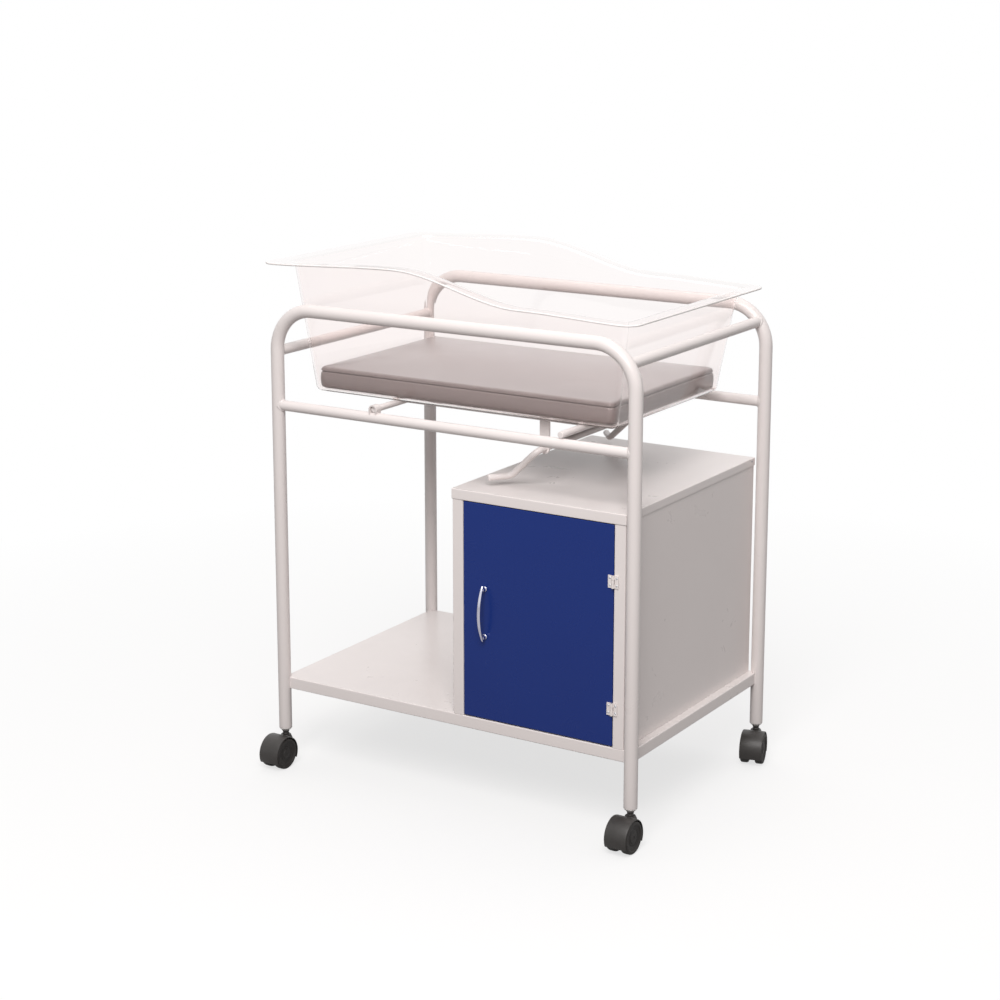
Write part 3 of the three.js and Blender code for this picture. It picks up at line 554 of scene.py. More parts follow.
plugLook = {"flange": 0.0125, "shank": 0.0107, "bottom": 0.068, "seat": 0.0748, "top": 0.107, "bore": 0.0058,
            "nose": 0.0070, "cone": 0.0055}
casterLook = {
    "trail": 0.024, "axle": 0.030, "wheelRadius": 0.030, "wheelWidth": 0.015, "inner": 0.00685,
    "web": 0.00625, "well": 0.0316, "hood": 0.0336, "hoodHalf": 0.02185, "hub": 0.012, "wheelHub": 0.010,
    "bore": 0.0044, "dish": 0.0025, "hoodTop": 0.060, "boss": 0.010, "rearAngle": -28.0, "frontAngle": 205.0,
    "turns": {"fl": 0.0, "fr": 0.0, "rl": 195.0, "rr": 15.0},
}


def buildLegPlug(suffix, x, y):
    look = plugLook
    bm = bmesh.new()
    turnProfile(bm, [(look["bore"], look["bottom"]), (look["nose"], look["bottom"]),
                     (look["flange"], look["bottom"] + look["cone"]), (look["flange"], look["seat"]),
                     (look["shank"], look["seat"]), (look["shank"], look["top"]), (look["bore"], look["top"]),
                     (look["bore"], look["bottom"])], Matrix.Translation((x, y, 0)))
    easeEdges(bm, 0.0006)
    finishPiece("legPlug_" + suffix, bm, "pale_plastic", "frame", ["leg_plug_" + suffix])


def casterPlace(suffix, x, y):
    return Matrix.Translation((x, y, 0)) @ Matrix.Rotation(math.radians(casterLook["turns"][suffix]), 4, "Z")


def buildHood(suffix, place):
    look = casterLook
    bm = bmesh.new()
    # half of the section is a web that widens into the fender, spun round the axle
    flank = [(look["web"], look["hub"] - 0.001), (look["web"], look["well"] - 0.003),
             (look["web"] + 0.0009, look["well"] - 0.0009), (look["web"] + 0.003, look["well"]),
             (look["hoodHalf"] - 0.0006, look["well"]), (look["hoodHalf"], look["well"] + 0.0005),
             (look["hoodHalf"], look["hood"] - 0.0016), (look["hoodHalf"] - 0.0006, look["hood"] - 0.0005),
             (look["hoodHalf"] - 0.0022, look["hood"])]
    outline = flank + [(-x, r) for x, r in reversed(flank)]
    axle = Vector((0, -look["trail"], look["axle"]))
    first = math.radians(look["rearAngle"])
    verts = [bm.verts.new(axle + Vector((x, r * math.cos(first), r * math.sin(first)))) for x, r in outline]
    edges = [bm.edges.new((verts[i - 1], verts[i])) for i in range(len(verts))]
    sweepAngle = math.radians(look["frontAngle"] - look["rearAngle"])
    spun = bmesh.ops.spin(bm, geom=verts + edges, cent=axle, axis=(1, 0, 0), angle=sweepAngle, steps=44)
    bmesh.ops.edgeloop_fill(bm, edges=edges)
    bmesh.ops.edgeloop_fill(bm, edges=pickEdges(spun["geom_last"]))
    onAxle = Matrix.Translation(axle) @ Matrix.Rotation(math.pi / 2, 4, "Y")
    turnProfile(bm, [(0.0043, -look["web"]), (look["hub"] - 0.0008, -look["web"]),
                     (look["hub"], -look["web"] + 0.0008), (look["hub"], look["web"] - 0.0008),
                     (look["hub"] - 0.0008, look["web"]), (0.0043, look["web"]), (0.0043, -look["web"])], onAxle)
    boss, top = look["boss"], look["hoodTop"]
    turnProfile(bm, [(0.0044, 0.040), (boss + 0.0030, 0.051), (boss + 0.0016, 0.0550), (boss + 0.0004, 0.0576),
                     (boss, top - 0.0012), (boss - 0.0003, top - 0.0006), (boss - 0.0010, top), (0.0044, top),
                     (0.0044, 0.040)], Matrix.Identity(4))
    bmesh.ops.transform(bm, matrix=place, verts=bm.verts)
    finishPiece("casterHood_" + suffix, bm, "black_plastic", "caster_" + suffix, [f"caster_{suffix}_hood"])


def buildWheel(suffix, side, place):
    look = casterLook
    tread, width, hub, dish = look["wheelRadius"], look["wheelWidth"], look["wheelHub"], look["dish"]
    rim = tread - 0.006
    bm = bmesh.new()
    profile = [(0, 0.0104), (look["bore"], 0.0104), (look["bore"], 0.0), (tread - 0.0032, 0.0),
               (tread - 0.0016, 0.0005), (tread - 0.0005, 0.0016), (tread - 0.0001, 0.0032), (tread, 0.0075),
               (tread - 0.0001, width - 0.0032), (tread - 0.0005, width - 0.0016),
               (tread - 0.0016, width - 0.0005), (tread - 0.0032, width), (rim + 0.0006, width),
               (rim, width - 0.0005), (rim - 0.0012, width - dish + 0.0006), (rim - 0.0026, width - dish),
               (hub + 0.0058, width - dish - 0.0004), (hub + 0.0052, width - dish - 0.0009),
               (hub + 0.0044, width - dish - 0.0004), (hub + 0.0020, width - dish),
               (hub + 0.0006, width - dish + 0.0003), (hub, width - dish * 0.55),
               (hub - 0.0008, width - dish * 0.5), (0.0042, width - dish * 0.5),
               (0.0036, width - dish * 0.5 - 0.0006), (0, width - dish * 0.5 - 0.0006)]
    turn = Matrix.Rotation(side * math.pi / 2, 4, "Y")
    axle = Matrix.Translation((side * look["inner"], -look["trail"], look["axle"]))
    turnProfile(bm, profile, place @ axle @ turn, 56)
    word = "left" if side < 0 else "right"
    finishPiece(f"wheel_{suffix}_{word}", bm, "wheel_tread", f"caster_{suffix}_wheel_{word}",
                [f"caster_{suffix}_wheel_{word}"])


def buildStem(suffix, place):
    bm = bmesh.new()
    turnProfile(bm, [(0, 0.038), (0.0040, 0.038), (0.0040, 0.0603), (0.0062, 0.0603), (0.0065, 0.0607),
                     (0.0065, 0.0622), (0.0057, 0.0630), (0.0057, 0.0650), (0.0065, 0.0658), (0.0065, 0.0677),
                     (0.0055, 0.0677), (0.0055, 0.0930), (0.0045, 0.0940), (0, 0.0940)], place)
    finishPiece("casterStem_" + suffix, bm, "black_plastic", "frame", [f"caster_{suffix}_stem"])


for suffix in casterLook["turns"]:
    cornerX = -frameTubes["legX"] if suffix[1] == "l" else frameTubes["legX"]
    cornerY = -frameTubes["legY"] if suffix[0] == "f" else frameTubes["legY"]
    standing = casterPlace(suffix, cornerX, cornerY)
    buildLegPlug(suffix, cornerX, cornerY)
    buildHood(suffix, standing)
    buildStem(suffix, standing)
    for side in (-1, 1):
        buildWheel(suffix, side, standing)
print("plugs and casters made")


# Sheet metal and small metal parts keep their solids, with merged corners, soft edges and a finish

keptNodes = {
    "white_paint": ["bottom_shelf", "cabinet_shell", "cabinet_top", "cradle_bar_front", "cradle_bar_rear",
                    "pivot_clip_front", "pivot_clip_rear", "stay_hanger_front", "stay_hanger_rear",
                    "hinge_upper_stile_leaf", "hinge_upper_door_leaf", "hinge_lower_stile_leaf",
                    "hinge_lower_door_leaf"],
    "blue_paint": ["door"],
    "zinc_steel": ["hinge_upper_pin", "hinge_lower_pin", "handle_screw_upper", "handle_screw_lower",
                   "door_strike", "caster_fl_axle", "caster_fr_axle", "caster_rl_axle", "caster_rr_axle"],
    "pale_plastic": ["door_catch"],
}
softEdges = {"width": 0.0005, "angle": 50.0, "segments": 2,
             "plain": ("bottom_shelf", "cabinet_shell", "cabinet_top", "door")}  # rounded in the solid


def makeFoldFinish():
    group = bpy.data.node_groups.new("foldFinish", "GeometryNodeTree")
    group.interface.new_socket("Geometry", in_out="INPUT", socket_type="NodeSocketGeometry")
    group.interface.new_socket("Geometry", in_out="OUTPUT", socket_type="NodeSocketGeometry")
    given, result = addNode(group, "NodeGroupInput"), addNode(group, "NodeGroupOutput")
    merged = addNode(group, "GeometryNodeMergeByDistance", {"Geometry": given.outputs[0], "Distance": 1e-5})
    bare = addNode(group, "GeometryNodeRemoveAttribute",
                   {"Geometry": merged.outputs[0], "Name": "custom_normal"})
    angle = addNode(group, "GeometryNodeInputMeshEdgeAngle").outputs["Unsigned Angle"]
    gentle = addNode(group, "FunctionNodeCompare", {"A": angle, "B": math.radians(38.0)},
                     data_type="FLOAT", operation="LESS_THAN")
    faces = addNode(group, "GeometryNodeSetShadeSmooth", {"Geometry": bare.outputs[0], "Shade Smooth": True},
                    domain="FACE")
    edges = addNode(group, "GeometryNodeSetShadeSmooth",
                    {"Geometry": faces.outputs[0], "Shade Smooth": gentle.outputs[0]}, domain="EDGE")
    group.links.new(edges.outputs[0], result.inputs[0])
    return group


foldFinish = makeFoldFinish()
for slot, names in keptNodes.items():
    for name in names:
        node = nodes[name]
        node.material_slots[0].material = finishes[slot]
        fold = node.modifiers.new("foldFinish", "NODES")
        fold.node_group = foldFinish
        if name not in softEdges["plain"]:
            ease = node.modifiers.new("softEdges", "BEVEL")
            ease.width, ease.segments = softEdges["width"], softEdges["segments"]
            ease.limit_method, ease.angle_limit = "ANGLE", math.radians(softEdges["angle"])
            ease.harden_normals = True
        flats = node.modifiers.new("flatFaces", "WEIGHTED_NORMAL")
        flats.mode, flats.weight, flats.keep_sharp = "FACE_AREA", 50, True
print("sheet metal finished")


# Door handle and the small screws that show

handleLook = {"x": 0.078, "z": 0.3825, "half": 0.052, "face": -0.2553, "bowReach": 0.021, "endReach": 0.007,
              "width": 0.00325, "thick": 0.0025, "post": 0.0035, "postInset": 0.007, "taper": 0.35}


def buildHandle():
    look = handleLook
    rise = look["bowReach"] - look["endReach"]
    bowRadius = (look["half"] ** 2 + rise ** 2) / (2 * rise)
    centre = Vector((look["x"], look["face"] - look["bowReach"] + bowRadius, look["z"]))
    halfTurn = math.asin(look["half"] / bowRadius)
    bm = bmesh.new()
    squash = Matrix.Diagonal((look["width"], look["thick"], 1, 1))
    lower = Matrix.Translation(centre) @ Matrix.Rotation(halfTurn, 4, "X") @ Matrix.Translation((0, -bowRadius, 0))
    verts = bmesh.ops.create_circle(bm, cap_ends=True, segments=28, radius=1.0, matrix=lower @ squash)["verts"]
    edges = ringEdges(verts)
    capEdges = list(edges)
    spun = bmesh.ops.spin(bm, geom=verts + edges, cent=centre, axis=(1, 0, 0), angle=-2 * halfTurn,
                          steps=36)["geom_last"]
    verts, edges = pickVerts(spun), pickEdges(spun)
    bmesh.ops.edgeloop_fill(bm, edges=edges)
    bmesh.ops.bevel(bm, geom=capEdges + edges, offset=0.0018, segments=4, profile=0.5, affect="EDGES",
                    material=-1)
    for vert in bm.verts:  # slimmer towards the ends
        share = (vert.co.z - look["z"]) / look["half"]
        vert.co.x = look["x"] + (vert.co.x - look["x"]) * (1 - look["taper"] * share * share)
    for side in (-1, 1):
        height = side * (look["half"] - look["postInset"])
        drop = bowRadius - math.sqrt(bowRadius ** 2 - height ** 2)
        reach = look["bowReach"] - drop
        foot = Matrix.Translation((look["x"], look["face"], look["z"] + height)) @ Matrix.Rotation(math.pi / 2, 4, "X")
        post = look["post"]
        turnProfile(bm, [(0, 0), (post + 0.0010, 0), (post + 0.0013, 0.0004), (post + 0.0013, 0.0014),
                         (post + 0.0007, 0.0020), (post, 0.0030), (post - 0.0002, reach * 0.6),
                         (post + 0.0002, reach - 0.001), (0, reach - 0.001)], foot, 28)
    finishPiece("bowHandle", bm, "chrome_plate", "door", ["door_handle"])


screwLook = {"head": 0.0021, "rise": 0.0009, "socket": 0.0008, "socketDepth": 0.0006}


def buildScrews(name, spots, facing, slot, body):
    look = screwLook
    bm = bmesh.new()
    turn = Vector(facing).to_track_quat("Z", "Y").to_matrix().to_4x4()
    for spot in spots:
        profile = [(0, look["rise"] - look["socketDepth"]), (look["socket"], look["rise"] - look["socketDepth"]),
                   (look["socket"], look["rise"]), (look["head"] * 0.7, look["rise"] * 0.85),
                   (look["head"] * 0.95, look["rise"] * 0.4), (look["head"], -0.0004), (0, -0.0004)]
        turnProfile(bm, profile, Matrix.Translation(spot) @ turn, 18)
    finishPiece(name, bm, slot, body)


hingeLook = {"x": 0.343, "face": -0.2568, "heights": {"upper": 0.483, "lower": 0.250}, "leafMiddle": 0.0068,
             "rowGap": 0.0066}
lidScrew = {"spot": (0.3675, 0.2373, 0.6005), "facing": (1, 0, 0)}


def buildHingeScrews():
    look = hingeLook
    for place, z in look["heights"].items():
        for leaf, side, body in (("Door", -1, "door"), ("Stile", 1, "frame")):
            x = look["x"] + side * look["leafMiddle"]
            spots = [Vector((x, look["face"], z + row * look["rowGap"])) for row in (-1, 1)]
            buildScrews(f"hingeScrews{leaf}_{place}", spots, (0, -1, 0), "zinc_steel", body)


buildHandle()
buildHingeScrews()
buildScrews("lidScrew", [Vector(lidScrew["spot"])], lidScrew["facing"], "zinc_steel", "frame")
print("door fittings made")


# Cradle rods and the tilt stay

cradleLook = {"rodRadius": 0.006, "rodZ": 0.7313, "rodReach": 0.259, "headX": -0.160, "footX": 0.236}
stayLook = {"radius": 0.006, "bend": 0.016, "tip": (0.0605, 0.217, 0.624), "knee": (0.0885, 0.182, 0.624),
            "hinge": (0.143, 0.182, 0.676)}


def buildCradle():
    look = cradleLook
    for place in ("head", "foot"):
        x = look[place + "X"]
        bm = bmesh.new()
        bentTube(bm, [(x, -look["rodReach"], look["rodZ"]), (x, look["rodReach"], look["rodZ"])],
                 look["rodRadius"], sides=28, capRound=0.0012)
        finishPiece(place + "CrossRod", bm, "white_paint", "cradle", [place + "_cross_rod"])


def buildStay():
    look = stayLook
    points = [look["tip"], look["knee"], look["hinge"]]
    front = [(x, -y, z) for x, y, z in points]
    bm = bmesh.new()
    bentTube(bm, front + points[::-1], look["radius"], look["bend"], 28, 10, 0.0015)
    finishPiece("tiltStayBar", bm, "white_paint", "stay", ["tilt_stay"])


buildCradle()
buildStay()
print("cradle and stay made")


# Clear moulded tub: one outline grown station by station up the outside and down the inside

tubLook = {
    "middleX": -0.013, "bottom": 0.7376, "wall": 0.004, "half": (0.325, 0.202), "lean": (0.032, 0.022),
    "corner": 0.016, "baseRound": 0.010, "flangeRound": 0.008, "flange": (0.047, 0.035, 0.037),
    "flangeCorner": 0.030,
    "footHeight": 0.1974, "headRise": 0.049, "crestRise": 0.059, "dipRise": 0.008,
    "crestX": -0.115, "dipX": 0.150, "cornerSteps": 12, "longSteps": 48, "shortSteps": 20, "roundSteps": 7,
    "holdShares": (0.04, 0.5, 0.96),
}


def outlineStations(cornerSteps, longSteps, shortSteps):
    stations = []
    for corner in range(4):
        stations += [(corner, corner, (corner + k / cornerSteps) * math.pi / 2, 0.0)
                     for k in range(cornerSteps + 1)]
        steps = shortSteps if corner % 2 else longSteps
        stations += [(corner, (corner + 1) % 4, (corner + 1) * math.pi / 2, k / steps)
                     for k in range(1, steps)]
    return stations


def outlinePoint(station, headX, footX, halfY, radius):
    corner, following, angle, share = station
    spots = [(footX - radius, halfY - radius), (headX + radius, halfY - radius),
             (headX + radius, radius - halfY), (footX - radius, radius - halfY)]
    round_ = Vector((math.cos(angle), math.sin(angle))) * radius
    return Vector(spots[corner]).lerp(Vector(spots[following]), share) + round_


def smoothStep(value, low, high):
    share = min(max((value - low) / (high - low), 0.0), 1.0)
    return share * share * (3 - 2 * share)


def rimHeight(x):
    look = tubLook
    headX = look["middleX"] - look["half"][0] - look["lean"][0] - look["flange"][0]
    footX = look["middleX"] + look["half"][0] + look["lean"][0] + look["flange"][1]
    crest = (look["crestRise"] - look["headRise"]) * smoothStep(x, headX, look["crestX"])
    dip = (look["crestRise"] - look["dipRise"]) * smoothStep(x, look["crestX"], look["dipX"])
    foot = look["dipRise"] * smoothStep(x, look["dipX"], footX)
    return look["footHeight"] + look["headRise"] + crest - dip - foot


def tubProfile():
    look = tubLook
    wall, baseRound, flangeRound, steps = look["wall"], look["baseRound"], look["flangeRound"], look["roundSteps"]
    full = look["footHeight"] + look["headRise"]
    knee, top = baseRound + wall, full - wall - flangeRound
    quarter = [math.pi / 2 * i / steps for i in range(steps + 1)]
    foot = lambda radius: [(radius * math.sin(a) - baseRound, baseRound - radius * math.cos(a), 0, 0) for a in quarter]
    rim = lambda radius: [(flangeRound - radius * math.cos(a), top + radius * math.sin(a), 0, 0) for a in quarter]
    sides = [knee + share * (top - knee) for share in (0.15, 0.3, 0.45, 0.6, 0.75, 0.9)]
    lip = [(-wall / 2 * (1 - math.sin(a)), full - wall, 1, wall / 2 * (1 - math.cos(a)))
           for a in (0.0, 0.52, 1.05, 1.57, 2.09, 2.62, 3.14)]
    outside = foot(baseRound) + [(0, z, 0, 0) for z in sides] + rim(flangeRound)
    inside = rim(flangeRound + wall)[::-1] + [(-wall, z, 0, 0) for z in sides[::-1]] + foot(baseRound - wall)[::-1]
    offsets = [(share, flangeRound - share * (flangeRound + wall / 2)) for share in look["holdShares"]]
    under = [(offset, full - wall, share, 0) for share, offset in offsets]  # rings that keep the flange flat
    over = [(offset, full - wall * share, share, wall * share) for share, offset in offsets[::-1]]
    return outside + under + lip + over + inside


def buildTub():
    look = tubLook
    stations = outlineStations(look["cornerSteps"], look["longSteps"], look["shortSteps"])
    full = look["footHeight"] + look["headRise"]
    knee = look["baseRound"] + look["wall"]
    bm = bmesh.new()
    order = bm.verts.layers.int.new("order")

    def shapeRing(verts, step):
        offset, z, flange, lift = step
        lean = z / full
        reachX = look["half"][0] + look["lean"][0] * lean + offset
        halfY = look["half"][1] + look["lean"][1] * lean + offset + flange * look["flange"][2]
        for vert in verts:
            radius = look["corner"] + offset
            radius += flange * (look["flangeCorner"] - radius)
            x, y = outlinePoint(stations[vert[order]], look["middleX"] - reachX - flange * look["flange"][0],
                                look["middleX"] + reachX + flange * look["flange"][1], halfY, radius)
            stretch = (rimHeight(x) - knee) / (full - knee)
            height = z if z < knee else knee + (z - knee) * stretch
            vert.co = (x, y, look["bottom"] + height + lift)

    verts = bmesh.ops.create_circle(bm, cap_ends=True, segments=len(stations), radius=0.2)["verts"]
    verts.sort(key=lambda vert: math.atan2(vert.co.y, vert.co.x) % (2 * math.pi))
    for index, vert in enumerate(verts):
        vert[order] = index
    edges = ringEdges(verts)
    profile = tubProfile()
    shapeRing(verts, profile[0])
    for before, step in zip(profile, profile[1:]):
        verts, edges = growLoop(bm, edges)
        shapeRing(verts, step)
        onLip = before[2] == step[2] == 1  # the round edge of the flange has its own finish
        for face in {face for edge in edges for face in edge.link_faces}:
            face.material_index = 1 if onLip else 0
    floorFace = bmesh.ops.edgeloop_fill(bm, edges=edges)["faces"][0]
    floorFace.material_index = 0
    tub = finishPiece("clearTub", bm, "clear_plastic", "tub", ["tub"], crease=50.0)
    tub.data.materials.append(acrylicEdge)


buildTub()
print("tub made")


# Mattress: the solid's form, remeshed, swollen by a short cloth run, then seamed

mattressLook = {
    "voxel": 0.0045, "shrink": 0.0012, "pressure": 2.5, "frames": 18, "cap": 0.005, "held": 0.009,
    "middleX": -0.013, "bottom": 0.7419, "half": (0.3195, 0.1965), "corner": 0.012, "side": 0.045,
    "seamZ": 0.7749, "seamDepth": 0.0026, "seamWidth": 0.0011, "seamBand": 0.0060, "bulge": 0.0012,
    "wrinkle": 0.0007, "pucker": 0.0006, "puckerPitch": 0.041, "wallGap": 0.0012,
}


def applied(piece):
    depsgraph = bpy.context.evaluated_depsgraph_get()
    mesh = bpy.data.meshes.new_from_object(piece.evaluated_get(depsgraph))
    piece.modifiers.clear()
    old = piece.data
    piece.data = mesh
    bpy.data.meshes.remove(old)


def sideReach(x, y):  # how far a point stands from the sides, and the way out of the nearest one
    look = mattressLook
    overX = abs(x) - (look["half"][0] - look["corner"])
    overY = abs(y) - (look["half"][1] - look["corner"])
    if overX > 0 and overY > 0:
        outward = Vector((math.copysign(overX, x), math.copysign(overY, y), 0.0))
        return look["corner"] - outward.length, outward.normalized()
    if overX > overY:
        return look["corner"] - overX, Vector((math.copysign(1.0, x), 0.0, 0.0))
    return look["corner"] - overY, Vector((0.0, math.copysign(1.0, y), 0.0))


def holdEdges(piece):  # the sewn edges and corners keep their place while the panels swell
    look = mattressLook
    held = piece.vertex_groups.new(name="held")
    low, high = look["bottom"], look["bottom"] + look["side"]
    for vert in piece.data.vertices:
        x, y = vert.co.x - look["middleX"], vert.co.y
        depth, outward = sideReach(x, y)
        edgeAway = min(abs(vert.co.z - low), abs(vert.co.z - high))
        onCorner = abs(outward.x * outward.y) > 0.05
        if depth < look["held"] and (edgeAway < look["held"] or onCorner) or vert.co.z < low + 0.004:
            held.add([vert.index], 1.0, "REPLACE")


def swellMattress(piece):
    look = mattressLook
    start = [vert.co.copy() for vert in piece.data.vertices]
    holdEdges(piece)
    cloth = piece.modifiers.new("cloth", "CLOTH")
    cloth.settings.quality = 5
    cloth.settings.mass = 0.35
    cloth.settings.tension_stiffness = 25
    cloth.settings.compression_stiffness = 25
    cloth.settings.bending_stiffness = 2.0
    cloth.settings.vertex_group_mass = "held"
    cloth.settings.use_pressure = True
    cloth.settings.uniform_pressure_force = look["pressure"]
    cloth.settings.effector_weights.gravity = 0.0
    cloth.point_cache.frame_start, cloth.point_cache.frame_end = 1, look["frames"]
    for step in range(1, look["frames"] + 1):
        scene.frame_set(step)
    applied(piece)
    scene.frame_set(1)
    for vert, first in zip(piece.data.vertices, start):
        move = vert.co - first
        if move.length > look["cap"]:
            vert.co = first + move.normalized() * look["cap"]


def seamMattress(piece):
    look = mattressLook
    bm = bmesh.new()
    bm.from_mesh(piece.data)
    for share in (-1.0, -0.6, -0.34, -0.16, 0.0, 0.16, 0.34, 0.6, 1.0):  # loops for a crisp seam line
        cutZ = look["seamZ"] + share * look["seamBand"]
        bmesh.ops.bisect_plane(bm, geom=bm.verts[:] + bm.edges[:] + bm.faces[:], dist=1e-5,
                               plane_co=(0, 0, cutZ), plane_no=(0, 0, 1))
    limitX, limitY = (half + look["wallGap"] for half in look["half"])
    for vert in bm.verts:
        x, y, z = vert.co.x - look["middleX"], vert.co.y, vert.co.z
        depth, outward = sideReach(x, y)
        onSide = 1 - smoothStep(depth, 0.004, 0.016)
        along = x if abs(outward.y) > abs(outward.x) else y
        away = z - look["seamZ"]
        beat = 0.5 + 0.5 * math.cos(2 * math.pi * along / look["puckerPitch"])
        seam = look["seamDepth"] * math.exp(-(away / look["seamWidth"]) ** 2)
        seam += look["pucker"] * beat * math.exp(-(away / 0.010) ** 2)
        puff = look["bulge"] * math.exp(-((away + 0.016) / 0.010) ** 2)
        fold = look["wrinkle"] * noise.noise(Vector((x * 5, y * 7, z * 18)))
        rise = fold * (1 - onSide) * smoothStep(z, look["bottom"] + 0.02, look["bottom"] + 0.045)
        vert.co += outward * onSide * (puff - seam + fold * 0.6) + Vector((0, 0, rise))
        vert.co.x = look["middleX"] + min(max(vert.co.x - look["middleX"], -limitX), limitX)
        vert.co.y = min(max(vert.co.y, -limitY), limitY)
        vert.co.z = max(vert.co.z, look["bottom"])
    bm.to_mesh(piece.data)
    bm.free()


def buildMattress():
    look = mattressLook
    bm = bmesh.new()
    bm.from_mesh(nodes["mattress"].data)
    bmesh.ops.remove_doubles(bm, verts=bm.verts, dist=1e-5)
    middle = Vector((look["middleX"], 0, look["bottom"]))
    scales = [1 - look["shrink"] / look["half"][0], 1 - look["shrink"] / look["half"][1], 0.97]
    bmesh.ops.scale(bm, vec=scales, space=Matrix.Translation(-middle), verts=bm.verts)
    piece = finishPiece("mattressPad", bm, "vinyl_cover", "mattress", ["mattress"])
    blocks = piece.modifiers.new("blocks", "REMESH")
    blocks.mode, blocks.voxel_size, blocks.use_smooth_shade = "VOXEL", look["voxel"], True
    applied(piece)
    swellMattress(piece)
    seamMattress(piece)
    piece.data.polygons.foreach_set("use_smooth", [True] * len(piece.data.polygons))
    if not piece.data.materials:
        piece.data.materials.append(finishes["vinyl_cover"])
    print("mattress faces:", len(piece.data.polygons))


buildMattress()
print("mattress made")


# Floor, light, background and camera

stageLook = {"floorSize": 40.0, "seenTone": tone(0.93, 0.92, 0.915), "bounceTone": tone(0.20, 0.19, 0.187),
             "glow": 0.70, "fadeFrom": 0.5, "fadeTo": 2.1, "ambient": 0.41,
             "worldSeen": {"Is Camera Ray": 1.0, "Is Glossy Ray": 1.0, "Is Transmission Ray": 1.0},
             "floorSeen": {"Is Camera Ray": 1.0, "Is Glossy Ray": 0.4, "Is Transmission Ray": 1.0,
                           "Transmission Depth": 1.0}}
lampLook = {
    "key": {"spot": (1.36, -2.92, 3.5), "aim": (0.0, 0.0, 0.5), "size": 2.2, "power": 149.0,
            "colour": (1.0, 0.975, 0.965)},
    "top": {"spot": (-0.6, 1.2, 4.2), "aim": (0.0, 0.0, 0.4), "size": 3.0, "power": 40.0,
            "colour": (1.0, 0.98, 0.975)},
}
cameraLook = {"spot": (2.1065, -3.4364, 1.5691), "azimuth": 32.108, "down": 12.407, "lens": 78.501,
              "shift": -0.08}


def seenDirectly(tree, shares):  # how far each kind of ray, before a diffuse bounce, sees plain white
    ray = addNode(tree, "ShaderNodeLightPath").outputs
    whole = addNode(tree, "ShaderNodeMath", {0: ray["Diffuse Depth"], 1: 0.5}, operation="LESS_THAN").outputs[0]
    clean = addNode(tree, "ShaderNodeMath", {0: ray["Is Camera Ray"], 1: ray["Is Glossy Ray"]}, operation="ADD")
    straight = addNode(tree, "ShaderNodeMath", {0: clean.outputs[0], 1: ray["Is Transmission Ray"]},
                       operation="ADD", use_clamp=True).outputs[0]  # none of these when the floor lights a surface
    whole = addNode(tree, "ShaderNodeMath", {0: whole, 1: straight}, operation="MULTIPLY").outputs[0]
    most = 0.0
    for kind, share in shares.items():
        part = addNode(tree, "ShaderNodeMath", {0: ray[kind], 1: share}, operation="MULTIPLY").outputs[0]
        most = addNode(tree, "ShaderNodeMath", {0: most, 1: part}, operation="MAXIMUM").outputs[0]
    return addNode(tree, "ShaderNodeMath", {0: whole, 1: most}, operation="MULTIPLY", use_clamp=True).outputs[0]


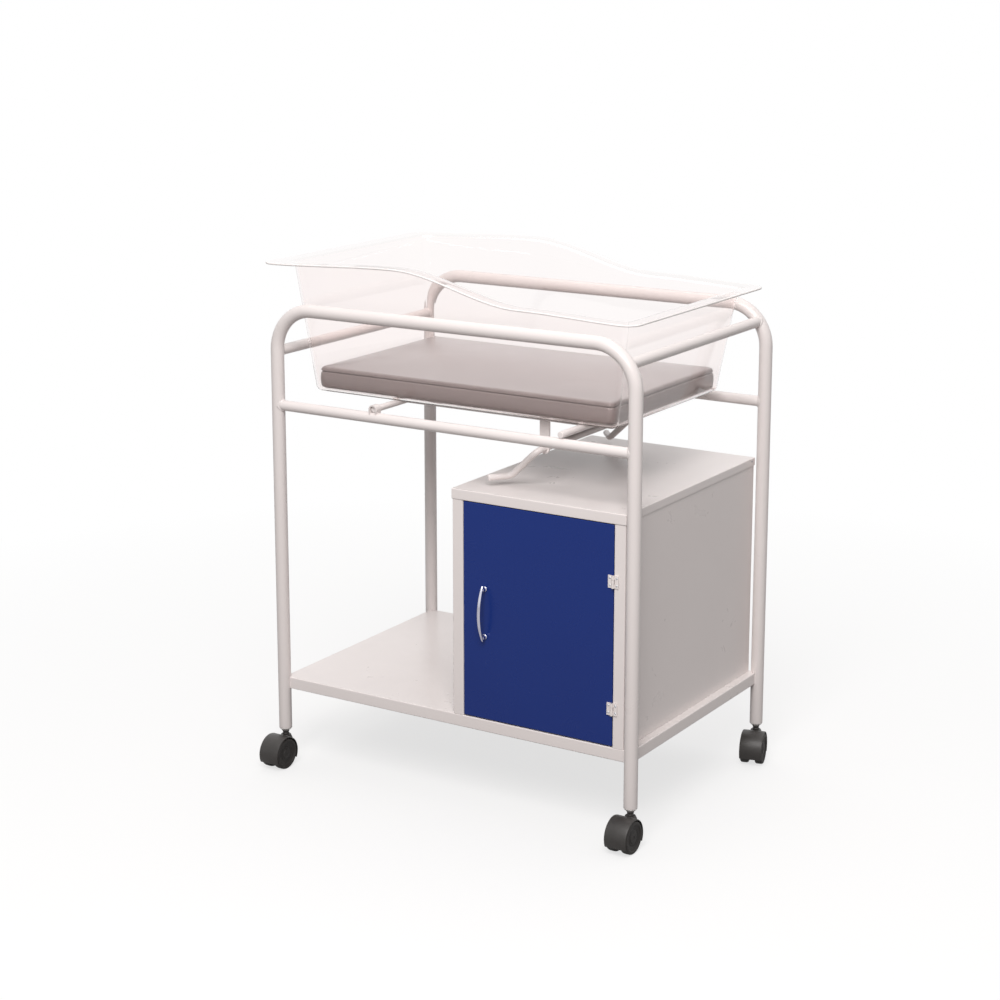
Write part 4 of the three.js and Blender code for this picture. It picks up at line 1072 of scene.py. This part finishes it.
def buildFloor():
    look = stageLook
    bm = bmesh.new()
    bmesh.ops.create_grid(bm, x_segments=8, y_segments=8, size=look["floorSize"] / 2)
    mesh = bpy.data.meshes.new("studioFloor")
    bm.to_mesh(mesh)
    bm.free()
    floor = bpy.data.objects.new("studioFloor", mesh)
    scene.collection.objects.link(floor)
    material = bpy.data.materials.new("paleFloor")
    material.use_nodes = True
    tree = material.node_tree
    shader = tree.nodes["Principled BSDF"]
    shader.inputs["Roughness"].default_value = 0.9
    shader.inputs["Specular IOR Level"].default_value = 0.0
    seen = seenDirectly(tree, look["floorSeen"])
    tree.links.new(mixColour(tree, seen, look["bounceTone"], look["seenTone"]), shader.inputs["Base Color"])
    glow = addNode(tree, "ShaderNodeEmission", {"Color": tone(1, 1, 1), "Strength": 1.0})
    place = addNode(tree, "ShaderNodeTexCoord").outputs["Object"]
    away = addNode(tree, "ShaderNodeVectorMath", {0: place}, operation="LENGTH").outputs["Value"]
    fade = rescale(tree, away, look["fadeFrom"], look["fadeTo"], look["glow"], 1.0)
    share = addNode(tree, "ShaderNodeMath", {0: seen, 1: fade}, operation="MULTIPLY")
    blend = addNode(tree, "ShaderNodeMixShader", {"Fac": share.outputs[0]})
    tree.links.new(shader.outputs[0], blend.inputs[1])
    tree.links.new(glow.outputs[0], blend.inputs[2])
    tree.links.new(blend.outputs[0], tree.nodes["Material Output"].inputs["Surface"])
    mesh.materials.append(material)


def buildWorld():
    world = bpy.data.worlds.new("studioWorld")
    scene.world = world
    world.use_nodes = True
    tree = world.node_tree
    tree.nodes.clear()
    ambient = addNode(tree, "ShaderNodeBackground",
                      {"Color": tone(1.0, 0.985, 0.98), "Strength": stageLook["ambient"]})
    plain = addNode(tree, "ShaderNodeBackground", {"Color": tone(1, 1, 1), "Strength": 1.0})
    pick = addNode(tree, "ShaderNodeMixShader", {"Fac": seenDirectly(tree, stageLook["worldSeen"])})
    tree.links.new(ambient.outputs[0], pick.inputs[1])
    tree.links.new(plain.outputs[0], pick.inputs[2])
    output = addNode(tree, "ShaderNodeOutputWorld")
    tree.links.new(pick.outputs[0], output.inputs["Surface"])


def buildLamps():
    for name, look in lampLook.items():
        lamp = bpy.data.lights.new(name + "Lamp", "AREA")
        lamp.shape, lamp.size = "SQUARE", look["size"]
        lamp.energy, lamp.color = look["power"], look["colour"]
        holder = bpy.data.objects.new(name + "Lamp", lamp)
        aim = Vector(look["aim"]) - Vector(look["spot"])
        holder.matrix_world = Matrix.Translation(look["spot"]) @ aim.to_track_quat("-Z", "Y").to_matrix().to_4x4()
        holder.visible_camera = False
        scene.collection.objects.link(holder)


def buildCamera():
    look = cameraLook
    camera = bpy.data.cameras.new("studioCamera")
    camera.sensor_fit, camera.sensor_width, camera.lens = "HORIZONTAL", 36.0, look["lens"]
    camera.shift_y = look["shift"]
    camera.clip_start, camera.clip_end = 0.05, 60.0
    holder = bpy.data.objects.new("studioCamera", camera)
    holder.location = look["spot"]
    holder.rotation_euler = (math.radians(90 - look["down"]), 0, math.radians(look["azimuth"]))
    scene.collection.objects.link(holder)
    scene.camera = holder


buildFloor()
buildWorld()
buildLamps()
buildCamera()
scene.view_settings.view_transform = "Standard"
print("stage set")
